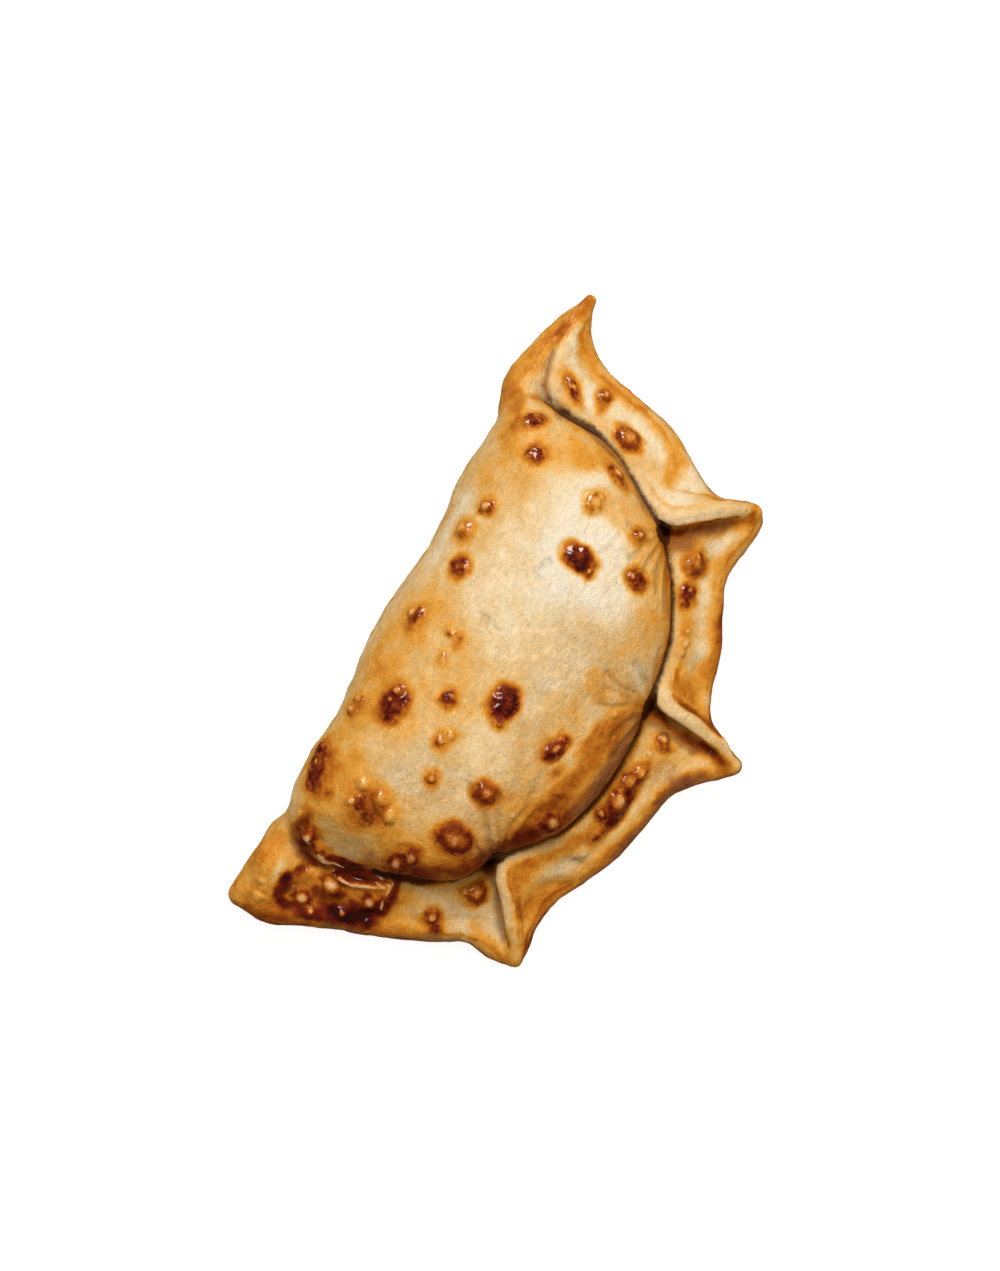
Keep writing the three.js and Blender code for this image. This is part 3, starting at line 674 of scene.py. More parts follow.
# The side walls are browner than the top, partly as real browning and partly as painted shade, most on the
# hem's walls, which turn from the light. They are less brown at the back and round the horn, and the wall of
# the plain fold stays pale.
HEM_WALL, BACK_WALL, FOLD_WALL = 0.62, 0.42, 0.24
wall_browning_and_shade = mix(HEM_WALL, BACK_WALL, np.maximum(ease(skin[:, 1], 38, 44), ease(skin[:, 0], 64, 68)))
plain_fold = ease(skin[:, 1], 38, 44) * ease(skin[:, 0], -66, -60) * (1 - ease(skin[:, 0], 48, 56))
wall_browning_and_shade = mix(wall_browning_and_shade, FOLD_WALL, plain_fold) + 0.12 * noise(skin, 9, 22) + 0.08 * noise(skin, 3, 26)
brown = mix(brown, wall_browning_and_shade, side_wall)
print("browning: mean", brown.mean().round(3))

# %% The burnt end
# A sheet of juice ran out here and burnt to a dark glaze: level, half width, points.
GLAZE = [
    (0.52, 5.6, [[-77, 33.4], [-75.4, 30], [-73.4, 25.6], [-71.6, 20.6]]),
    (0.56, 3.4, [[-67.2, 37], [-68, 30], [-68, 24], [-67.4, 17.6]]),
    (0.86, 2.1, [[-76, 38.2], [-80.2, 38.2], [-82.4, 35.6], [-82, 31.6], [-81.2, 27.4]]),
    (0.95, 3.2, [[-79.6, 26], [-78.4, 20.6], [-76.2, 16.4]]),
    (0.9, 3, [[-76.4, 15.8], [-73, 14.6], [-70, 13.4]]),
    (0.86, 1.3, [[-68.6, 27], [-68.6, 23], [-66.9, 18.6]]),
    (0.8, 1.8, [[-75.4, 20.4], [-73.4, 17.8], [-72.4, 14.6]]),
    (0.78, 2.4, [[-61.6, 40.8], [-64.4, 39.4], [-67.6, 37.2], [-69.4, 34]]),
    (0.86, 1.3, [[-62.6, 39], [-64.9, 35], [-66.1, 31], [-66.2, 25.4], [-65.4, 20.4], [-64, 17]]),
    (0.66, 1.8, [[-76.4, 36.8], [-73, 35.8], [-70, 35.6]]),
    (0.8, 1.6, [[-70, 13.2], [-66, 12.8], [-63, 13.6]]), (0.7, 1.6, [[-76.4, 29], [-76, 26], [-74, 24.4]]),
]
# Thick runs in it: height in mm, half width, points.
RUNS = [
    (1.3, 1.7, [[-69.8, 27.6], [-70.4, 23.6], [-69, 20], [-67.8, 17], [-66.8, 15.2]]),
    (1.0, 1.4, [[-70, 13.2], [-67, 14], [-64, 14]]),
    (1.3, 1.8, [[-62.6, 39.4], [-65, 35], [-66.5, 31], [-66.6, 25], [-65.8, 20.4], [-64.4, 16.6]]),
    (0.9, 1.7, [[-77.4, 14.6], [-74, 12.6], [-70.5, 12.4]]),
    (0.6, 2, [[-83.4, 32], [-81.4, 25], [-79.4, 18]]),
    (0.7, 1.8, [[-60.4, 42], [-64.6, 40.4], [-68, 38.2]]),
    (0.8, 2, [[-78.6, 37.4], [-75.6, 36], [-73, 34]]),
]
glazed = np.zeros(len(skin))
for shade, width, line in GLAZE:
    cover = np.clip(1.3 * stroke(line, 1.3 * width, wander), 0, 1) * upward
    brown = raised(brown, shade, cover)
    glazed = np.maximum(glazed, np.clip(1.5 * cover, 0, 1))
runs = np.max([height * stroke(line, width) for height, width, line in RUNS], 0) * upward
# Painted highlight: the crests of some runs are painted pale as a glint, with gaps: half width, points.
PALE_RUNS = [
    (0.9, [[-69.8, 26.8], [-70.5, 23.4], [-69.1, 20], [-67.9, 17.4], [-66.9, 15.4]]),
    (0.8, [[-63.2, 38.8], [-65.2, 34.8], [-66.6, 31], [-66.7, 27]]),
    (0.8, [[-72, 13.6], [-68.6, 14], [-65, 13.8]]),
]
gaps = ease(noise(skin, 2.4, 55), -0.7, 0)
painted_sheen = np.max([stroke(line, width) for width, line in PALE_RUNS], 0) * gaps * upward
print("burnt:", round(float((glazed > 0.6).mean()), 3), "of the skin")

# %% Blisters and spots
# kind, x, y, length, width, turn in degrees, strength
SPOTS = [
    # on the pocket, along the fold
    ("soft", -47.4, 43.4, 19, 10, 4, 0.6), ("char", -48, 44, 11.6, 4.2, 8, 0.78),
    ("char", -51.6, 42.8, 4.6, 3.2, 40, 0.9), ("char", -43.6, 45.6, 4.4, 2.4, 0, 0.86),
    # The scar at -46.6, 44.6 stands for the pink sheen on this burn: its lighter middle is a painted
    # highlight.
    ("scar", -46.6, 44.6, 5, 2.2, 10, 0.7), ("char", -52, 38.6, 0.9, 0.9, 0, 0.9),
    ("soft", -29.4, 42.8, 8.4, 5.4, 0, 0.56), ("ring", -31, 43, 3.6, 3, 0, 0.64),
    ("ring", -27.8, 42.8, 3.4, 2.8, 0, 0.6), ("soft", -3, 40.6, 9, 5.4, -8, 0.54),
    ("char", -3.4, 40.4, 7.2, 3.4, -8, 0.7), ("ring", -2.6, 41.4, 3.2, 2.6, 0, 0.66),
    ("soft", 21.4, 39.6, 9, 6, 0, 0.5), ("bubble", 21.6, 40.2, 5.4, 4, 0, 0.64),
    ("char", 12.8, 36.7, 5.6, 4.4, 0, 0.8), ("ring", 29, 37.9, 4, 3.6, 0, 0.72),
    ("char", 53.6, 38, 6.4, 3.8, -50, 0.76), ("char", 46.4, 33.4, 4.6, 5.2, 30, 0.78),
    ("soft", 57.4, 44.6, 8, 5, 60, 0.54),
    # over its top
    ("char", -24.6, 34.8, 10.4, 6.8, 0, 0.86), ("ring", -21.4, 35.2, 3.8, 3.4, 0, 0.86),
    ("ring", -24, 35.8, 2.4, 2, 0, 0.8), ("soft", -50, 28.2, 17, 17, 0, 0.54),
    ("soft", -50.6, 28, 11, 10, 0, 0.66), ("char", -51.6, 27.6, 6, 4.6, 20, 0.7),
    ("char", -50, 30.6, 5, 5, -20, 0.72), ("char", -48.4, 26, 4, 5, 0, 0.64),
    ("ring", -50.6, 32.6, 3.2, 2.8, 0, 0.66), ("bubble", -46.6, 26.4, 4, 4.6, 0, 0.62),
    ("bubble", -45.6, 32, 4, 4, 0, 0.58), ("bubble", -49.6, 22.6, 4.6, 3.4, 0, 0.6),
    ("char", -17, 23.6, 4.4, 4, 0, 0.82), ("ring", -16, 23.2, 2.2, 2, 0, 0.85),
    ("ring", -36.2, 17.9, 3.8, 3.2, 0, 0.7), ("soft", -26, 19.8, 7, 6, 0, 0.42),
    ("ring", -27, 20.4, 3.2, 3, 0, 0.72), ("ring", -24.8, 18.8, 3.2, 2.8, 0, 0.6),
    ("char", -8.4, 29.8, 3.6, 2, 20, 0.56), ("char", -3.6, 28.2, 3, 1.6, 0, 0.72),
    ("char", -2.6, 30.4, 1.8, 4, 0, 0.58), ("char", -11.4, 11.2, 9.6, 7.2, 0, 0.9),
    ("char", -15.6, 10.4, 4.4, 3.4, 20, 0.64), ("char", 28.6, 11.7, 6, 8.6, -12, 0.92),
    ("ring", 26.9, 8.2, 2.4, 2.2, 0, 0.92), ("scar", 42.6, 15, 6, 5.4, 0, 0.5),
    ("ring", 44.4, 14.6, 2.8, 3, 0, 0.6), ("soft", 40.6, 1.6, 7, 6, 0, 0.48),
    ("ring", 40.8, 1.5, 3.4, 3.2, 0, 0.78), ("char", 30.8, -3.4, 6, 4.4, 54, 0.84),
    ("ring", 31, -1.6, 3.2, 2.6, 30, 0.84), ("scar", 51.6, 13.6, 8.6, 2.6, 66, 0.7),
    # towards the hem
    ("soft", -47, 6.4, 11, 12, 0, 0.56), ("char", -48.4, 9.2, 4.4, 3, 30, 0.76),
    ("bubble", -46.8, 5.8, 8, 9, 0, 0.88), ("char", -58.4, 14.8, 8, 6.4, -40, 0.84),
    ("ring", -58.8, 15.6, 4.8, 4.2, 0, 0.86), ("ring", -55.8, 13, 5, 4.6, 0, 0.88),
    ("bubble", -33, 4.6, 5.6, 6, 0, 0.86), ("scar", -15.4, -5.4, 8.2, 4.4, -24, 0.84),
    ("soft", -38, -10.4, 10, 7, -30, 0.78), ("soft", -29, -12.6, 6, 7, -16, 0.64),
    ("soft", -19.6, -8.6, 8, 3.4, -16, 0.56), ("soft", -11, -11.6, 10, 3.4, -14, 0.6),
    ("soft", -6.6, -13, 8, 5.4, 0, 0.56), ("soft", -22, -17.4, 8, 3, -12, 0.6),
    ("soft", -9, -18.4, 7, 2.4, -6, 0.56), ("char", -33.4, -12.4, 8, 4.4, 5, 0.84),
    ("ring", -31.9, -13.3, 5.6, 5.2, 0, 0.86), ("ring", -1, -14.2, 2.4, 2.2, 0, 0.56),
    ("char", -25, -11.4, 3, 1, -35, 0.8), ("char", -50.2, 1.2, 1.4, 1.2, 0, 0.95),
    # on the laps, from the horn round to the blunt corner
    ("soft", 66.8, 33.8, 10, 6.4, 46, 0.5), ("scar", 66.2, 33.4, 7.4, 2.8, 52, 0.8),
    ("soft", 66, 25, 7, 5.4, 20, 0.5), ("ring", 68.3, 25.5, 3.8, 3.6, 0, 0.8),
    ("bubble", 61.6, 15, 5, 7.6, -16, 0.8), ("bubble", 41.8, -14.9, 6.4, 5.4, 10, 0.82),
    ("ring", 43.9, -14.4, 2.4, 2.2, 0, 0.5), ("char", 34.4, -16.8, 6.6, 4.2, 14, 0.82),
    ("ring", 35.4, -16.6, 2.4, 2.2, 0, 0.7), ("ring", 23.4, -22, 3, 2.6, 0, 0.56),
    ("ring", 20.6, -22.3, 2.6, 2.4, 0, 0.48), ("ring", 26, -21.1, 2.8, 2.4, 0, 0.46),
    ("char", -2.6, -30, 2.4, 4.6, 20, 0.76), ("ring", -0.8, -28.8, 3.6, 4.2, 0, 0.7),
    ("char", -12.4, -27.6, 9, 3.2, -6, 0.84), ("soft", -20, -26.8, 28, 8, -6, 0.54),
    ("char", -21, -27, 15, 4.4, -5, 0.88), ("char", -29.6, -25.8, 5.6, 1.8, -10, 0.76),
    ("ring", -20, -26, 8, 5.4, 0, 0.86), ("bubble", -14.3, -26, 5.6, 4.6, 0, 0.8),
    ("ring", -24.6, -23.8, 3.4, 3.2, 0, 0.9), ("bubble", -11, -27.6, 4.6, 3.8, 0, 0.78),
    ("ring", -5.4, -27.4, 2.2, 2, 0, 0.46), ("soft", -58, -5, 9, 8, 0, 0.44),
    ("bubble", -57.4, -5.8, 6, 5, 10, 0.86), ("ring", -58.4, -3, 3, 2.4, 0, 0.66),
    ("soft", -69, 0.4, 8, 8, 0, 0.5), ("ring", -68.2, 1, 4.6, 4.2, 0, 0.84),
    ("char", -70.1, -1, 3, 3, 0, 0.9),
    # in the burnt glaze
    ("ring", -79.4, 32.2, 5.4, 6, 30, 0.85), ("ring", -81.2, 28.8, 3.2, 3, 0, 0.8),
    ("ring", -72.8, 27.2, 8, 7, 0, 0.76), ("ring", -72.1, 16.8, 5.4, 5, 0, 0.88),
    ("bubble", -67, 33.6, 5, 7.4, -16, 0.78), ("ring", -63.3, 37.9, 3.6, 3.8, 0, 0.84),
    ("ring", -64.9, 16.8, 3.6, 3.4, 0, 0.85), ("ring", -78, 21.6, 3.2, 3.4, 0, 0.9),
    ("ring", -77.4, 35.6, 2.4, 1.8, 30, 0.7),
]
# For each kind: how far its lighter middle reaches, rise in mm, power of the swelling's curve. A soft spot
# only browns the crust and doesn't rise.
KINDS = {
    "char": (None, 0.7, 0.6), "scar": (0.34, 1.0, 0.8), "ring": (0.5, 1.35, 0.9), "bubble": (0.52, 1.4, 0.9),
}
# Swellings of the plain crust: x, y, length, width, turn in degrees, height in mm
BUMPS = [
    (-42.4, -22.6, 10, 5, -52, 1.2), (-36, -24.4, 4.4, 3, -40, 0.9), (-20, -31.4, 12, 2.6, -10, 0.5),
    (22, -25.6, 6, 4, 10, 0.5), (-68, 5, 6, 4, 0, 0.5), (-77.6, 41.4, 18, 13, 10, 3.2),
    (-75, 41, 7, 4, 0, 3.7), (-83.6, 42, 4.4, 6.6, 20, 2.9), (-79.2, 43.4, 4, 3.6, 0, 3.8),
]
FAR = -6.0  # mm, the most that a point counts as outside a spot
RAGGED = 0.13  # unevenness of a spot's outline
# A painted highlight: the lighter middle of a blister is moved this far towards the light.
TOWARDS_LIGHT = 0.12  # how far a spot's lighter middle lies towards the light, as a share of its size
FRAME_UP = np.array([0.879, 0.477])  # the photograph's upward direction in plan, from which the light comes
spot = np.full(len(skin), FAR)
level = np.zeros(len(skin))
middle = np.full(len(skin), -2.0)
rise = np.zeros(len(skin))
for number, (kind, x, y, length, width, turn, strength) in enumerate(SPOTS):
    size = math.sqrt(length * width) / 2
    r = oval(x, y, length, width, turn, RAGGED, 100 + number, most=1 - FAR / size)
    if kind == "soft":
        brown = raised(brown, strength, 1 - ease(r, 0.2, 1.15))
        continue
    reach, height, power = KINDS[kind]
    inside = (1 - r) * size
    level = np.where(inside > spot, strength, level)
    spot = np.maximum(spot, inside)
    rise = np.maximum(rise, height * min(1.0, size / 2) * swelling(r, 1.05, power))
    # The lighter middle is moved towards the light, so its paler side is a painted highlight.
    if reach:
        light_x, light_y = TOWARDS_LIGHT * size * FRAME_UP
        r = oval(x + light_x, y + light_y, length, width, turn, RAGGED, 100 + number)
        middle = np.maximum(middle, (0.55 if kind == "bubble" else 1) * (1 - r / reach))
for x, y, length, width, turn, height in BUMPS:
    r = oval(x, y, length, width, turn, 0.15, 7)
    rise = np.maximum(rise, height * swelling(r, 1.1, 1.2))
for _ in range(4):
    level = gathered(level)
rise *= upward
# The pale runs join the lighter middles, so they get the painted glint too.
spot, middle = mix(FAR, spot, upward), np.maximum(mix(-2, middle, upward), mix(-2, 1, painted_sheen ** 0.5))
print(len(SPOTS), "spots on", round(float((spot > 0).mean()), 3), "of the skin")

# %% Creases and wrinkles
# The crease between the pocket and the hem is the belly line, from the horn's root to the burnt end.
HORN_ROOT, BURNT_END = [60, 37.6], [-64.4, 19.6]
seam = apart(belly[on_belly(HORN_ROOT):on_belly(BURNT_END) + 1:8], 4)
# x, y, radius, and how much wider the crease is there, in mm
PITS = [
    (45.4, -4.4, 4, 1.3), (5.2, -22.4, 4, 0.7), (-47.6, -6.4, 4, 0.8), (-62, 10.5, 8, 0.7), (60, 28, 8, 0.5),
]
for x, y, radius, wider in PITS:
    seam -= wider * near(x, y, radius)
# Depth in mm, half width, points. Most run out of the pleats over the pocket.
WRINKLES = [
    (0.55, 1.4, [[-46, -4.5], [-42, -1], [-38.4, 2.4], [-35.6, 6.6], [-33, 9]]),
    (0.5, 1.4, [[-44, -6], [-38, -5], [-32, -6.4], [-27, -5.4]]),
    (0.45, 1.2, [[-45, -5.4], [-41, -3.4], [-36, -1], [-32, 1]]),
    (0.45, 1.2, [[-43, -7.6], [-37, -8], [-31, -9.4]]), (0.45, 1.1, [[-48, -3], [-45.6, 1], [-45, 4]]),
    (0.5, 1.2, [[4, -21], [3, -17], [0.6, -13.4], [0, -10]]),
    (0.5, 1.2, [[5, -21], [6, -17], [6, -12], [7.4, -8]]),
    (0.5, 1.2, [[3, -21.4], [-1, -18.4], [-6, -16.6]]), (0.45, 1.2, [[6, -21], [10, -17.4], [12.6, -12.6]]),
    (0.45, 1.2, [[7, -21.2], [13, -18.6], [19, -16.8]]), (0.4, 1.1, [[4.4, -19.6], [4.4, -14], [3.4, -9]]),
    (0.45, 1.2, [[2, -21.6], [-4, -20], [-11, -19.4]]), (0.5, 1.5, [[44, -3.6], [39.4, -1], [35, 0.6]]),
    (0.5, 1.5, [[44, -4.4], [38, -4], [32.4, -4.6]]), (0.5, 1.5, [[43, -5.6], [37, -7], [31, -9.4]]),
    (0.5, 1.4, [[41, -7.4], [35, -10.2], [28, -13.6]]), (0.45, 1.3, [[44.6, -2.6], [42.6, 1], [42.2, 5]]),
    (0.2, 1.1, [[32, 8.6], [35, 7], [38.6, 5.8]]), (0.45, 1.4, [[19.6, 18.6], [21.4, 19.6], [24.2, 18]]),
    (0.4, 1.4, [[3, 24], [5.4, 26.4], [4, 21.6]]), (0.15, 0.8, [[49.4, -5.4], [52.8, -9.8], [56.4, -14.4]]),
    (0.3, 1.8, [[-39, -21.6], [-38, -26.4]]), (0.3, 1.4, [[9.2, -25.6], [9, -31], [8.6, -37]]),
    (0.3, 1.4, [[-48.6, -11.6], [-52.6, -14.4], [-58, -18.6]]),
]
furrow = np.max([depth * stroke(line, width, half_wander) for depth, width, line in WRINKLES], 0) * upward
print("crease:", round(float((seam < 1).mean()), 3), "of the skin; wrinkles:", len(WRINKLES))

# %% Press the relief into the skin
def layers(*fields):
    """The sum of random fields over the skin, each given by its height and size in mm and a seed."""
    return sum(height * noise(skin, size, seed) for height, size, seed in fields)


relief = layers((0.38, 17, 31), (0.2, 6, 32), (0.12, 2.6, 33), (0.05, 1.4, 36))
on_hem = 1 - ease(skin[:, 2], 15, 19)
relief += on_hem * layers((0.25, 8, 34), (0.12, 3.2, 35))
relief += glazed * layers((0.45, 3.6, 51), (0.1, 1.8, 52)) + runs
charred = ease(spot, -0.2, 0.8) * (1 - ease(middle, -0.6, 0.2))
relief += rise + charred * layers((0.42, 1.7, 53), (0.3, 2.8, 54)) - 1.1 * furrow
relief -= 0.6 * (1 - ease(seam, 0, 1)) * upward
relief *= 1 - on_tray
skin = skin + facing * relief[:, None]
skin[:, 2] = np.maximum(skin[:, 2], 0)
skin[on_tray, 2] = 0
skin = smoothed(skin, 0.2, 1)
facing = normals(skin)
print("relief from", relief.min().round(2), "to", relief.max().round(2), "mm")

# %% [markdown]
# ## Crests and creases
#
# Painted shade darkens the creases, and the crests of the thick rims are painted a little lighter as a
# painted highlight. The difference between the skin and a much smoothed copy of it says which is which at
# every point.

# %% Find crests and creases
flattened = smoothed(skin.copy(), 0.5, 30)
proud = gathered(gathered(((skin - flattened) * facing).sum(1)))
# valley marks the hollows that get painted shade.
valley = ease(-proud, 0.12, 0.5) * (1 - on_tray)
print("proud of the smoothed skin: from", proud.min().round(2), "to", proud.max().round(2), "mm")

# %% Put the masks together
# Places where the dough is grey-olive and looks damp: x, y, length, width, turn in degrees
DULL = [
    [6, -3, 34, 26, 10], [-36, 20, 24, 28, 0], [-8, 3, 26, 20, 0], [-22, -2, 28, 14, 0], [-40, 2, 18, 14, 30],
    [-42, -22, 14, 6, -45], [-62, -6, 14, 12, -30], [10, -15, 16, 9, 0], [-8, -33, 12, 8, -30],
    [-60.6, 26, 8, 13, 0],
]
dull = np.max([1 - ease(oval(*place, uneven=0.3, seed=70 + i), 0.3, 1.2) for i, place in enumerate(DULL)], 0)
dull = np.clip(dull * (0.65 + 0.5 * noise(skin, 6, 62)), 0, 1) * upward
# Lines of shade, in crevices and along outer edges that turn away from the light: half width in mm, points
GREY = [
    (1.3, [[60, 32], [60.8, 37], [63.4, 40.2], [67, 41.6], [71.6, 42.2]]),
    (0.9, [[58.4, 34], [58.6, 26], [56.8, 17.6], [51, 8], [46.4, 0]]),
    (1.2, [[-51.4, -6.6], [-57, -11.4], [-64, -17.6]]), (1.2, [[1, -24.6], [0.8, -32], [0.6, -38]]),
    (2, [[43, -8], [48, -11.6], [54, -17]]), (1.2, [[-66, 41.6], [-68, 39.6], [-69.8, 37.4]]),
    (1.5, [[-84, 24], [-79.4, 11], [-75.2, 1], [-71.2, -7]]),
    (1.7, [[-42, -29.4], [-32, -33.6], [-20, -35.4], [-10, -38.4], [-5, -42.6]]),
    (2, [[-26, -18.4], [-20, -19.4], [-12, -20], [0, -20]]),
]
grey = np.max([stroke(line, 1.5 * width, wander) for width, line in GREY], 0) * upward
# Painted highlight: the crests of the thick rims are painted a little lighter.
painted_crest_highlight = 0.06 * ease(proud, 0.2, 0.8) * (1 - glazed)
masks = {
    "brown": np.clip(brown - painted_crest_highlight, 0, 1), "spot": spot, "level": level, "middle": middle,
    "seam": seam, "valley": valley, "furrow": furrow, "dull": dull, "grey": grey, "glazed": glazed,
    "base": on_tray.astype(float),
}
for name, values in masks.items():
    print(f"{name}: from {values.min():.2f} to {values.max():.2f}, mean {values.mean():.3f}")

# %% [markdown]
# ## The finished mesh

# %% Fewer faces on the flat base
def merged(points, faces, masks, group):
    """Points of one group made into one point, at their mean. A face whose neighbouring corners meet becomes
    a triangle, or vanishes when fewer than three corners are left. A few quads of the base have opposite
    corners that meet. They stay, folded and without area."""
    _, new = np.unique(group, return_inverse=True)
    count = np.bincount(new)
    points = np.stack([np.bincount(new, column) for column in points.T], 1) / count[:, None]
    masks = {name: np.bincount(new, values) / count for name, values in masks.items()}
    faces = new[faces]
    kept = faces != np.roll(faces, 1, 1)
    corners = kept.sum(1)
    triangles = faces[corners == 3][kept[corners == 3]].reshape(-1, 3)
    return points, faces[corners == 4].tolist() + triangles.tolist(), masks


BASE_CELL = 7  # mm
rim_of_base = on_tray & (gathered(on_tray.astype(float)) < 1)
inner_base = on_tray & ~rim_of_base & (gathered(rim_of_base.astype(float)) == 0)
cell = np.floor((grid[:, :2] + VOXEL / 4) / BASE_CELL).astype(int) @ [1, 1000]
group = np.where(inner_base, cell - 10 ** 6, np.arange(len(skin)))
points, faces, masks = merged(skin, quads, masks, group)
print("base points merged:", int(inner_base.sum()), "to", len(points) - int((~inner_base).sum()))


# %% Build the piece
def piece(name, points, faces, masks):
    """A smooth-shaded mesh object from points in millimetres, faces, and one number a point for each mask."""
    mesh = bpy.data.meshes.new(name)
    mesh.from_pydata((points * MM).tolist(), [], faces)
    for key, values in masks.items():
        mesh.attributes.new(key, "FLOAT", "POINT").data.foreach_set("value", values.astype(np.float32))
    mesh.shade_smooth()
    return placed(name, mesh)


crust_piece = piece("empanada_crust", points, faces, masks)
crust_piece.data.calc_loop_triangles()
print("piece:", len(points), "points,", len(crust_piece.data.loop_triangles), "triangles")


# %% [markdown]
# ## The crust
#
# Egg-washed dough goes from cream through gold and orange-brown to a nearly black mahogany. One colour ramp
# holds that whole scale. The masks say how far along it each point is, and fine noise breaks their edges up.

# %% Node helper
def add(tree, kind, settings=None, **inputs):
    """A new node. settings are its properties. Inputs are values or sockets. They are named with _ for a
    space, or with i and their number where several share a name."""
    made = tree.nodes.new(kind)
    for key, value in (settings or {}).items():
        setattr(made, key, value)
    for key, value in inputs.items():
        by_number = key[0] == "i" and key[1:].isdigit()
        socket = made.inputs[int(key[1:]) if by_number else key.replace("_", " ")]
        if isinstance(value, bpy.types.NodeSocket):
            tree.links.new(value, socket)
        else:
            socket.default_value = value
    return made


def maths(tree, operation, a, b):
    """The result of one operation on two values or sockets."""
    return add(tree, "ShaderNodeMath", dict(operation=operation), i0=a, i1=b).outputs[0]


def srgb(r, g, b):
    """An 8-bit screen colour as the linear numbers that Blender's sockets hold."""
    c = np.array([r, g, b]) / 255
    return (*np.where(c <= 0.04045, c / 12.92, ((c + 0.055) / 1.055) ** 2.4).tolist(), 1)


def blend(tree, share, a, b, how="MIX"):
    """The colour the given share of the way from a to b, or to a times b where how is MULTIPLY."""
    return add(tree, "ShaderNodeMix", dict(data_type="RGBA", blend_type=how), i0=share, i6=a, i7=b).outputs[2]


def ramp(tree, value, stops):
    """The colour at value on a scale of stops, each a position and a colour."""
    made = add(tree, "ShaderNodeValToRGB", Fac=value)
    elements = made.color_ramp.elements
    while len(elements) < len(stops):
        elements.new(0.5)
    for element, (position, colour) in zip(elements, stops):
        element.position, element.color = position, colour
    return made.outputs[0]


# %% The crust material
BAKE_SCALE = [
    (0.00, srgb(243, 229, 205)), (0.12, srgb(240, 213, 168)), (0.24, srgb(233, 189, 122)),
    (0.38, srgb(230, 161, 62)), (0.52, srgb(204, 120, 30)), (0.66, srgb(152, 72, 15)),
    (0.80, srgb(122, 38, 9)), (0.92, srgb(88, 19, 7)), (1.00, srgb(54, 10, 5)),
]
# Pale blister tops: partly their own paler skin and partly a painted highlight
BLISTER_TOP_AND_GLINT = srgb(243, 208, 176)  # tops of blisters
DAMP = srgb(190, 157, 111)
SHADED = srgb(132, 94, 60)
SPECK = srgb(120, 84, 48)
# The colour of the painted shade in creases, hollows and wrinkles
PAINTED_CREASE_SHADE = srgb(62, 24, 8)
HALO_LEVEL = 0.64  # how brown a spot's halo is, as a share of the spot's own level


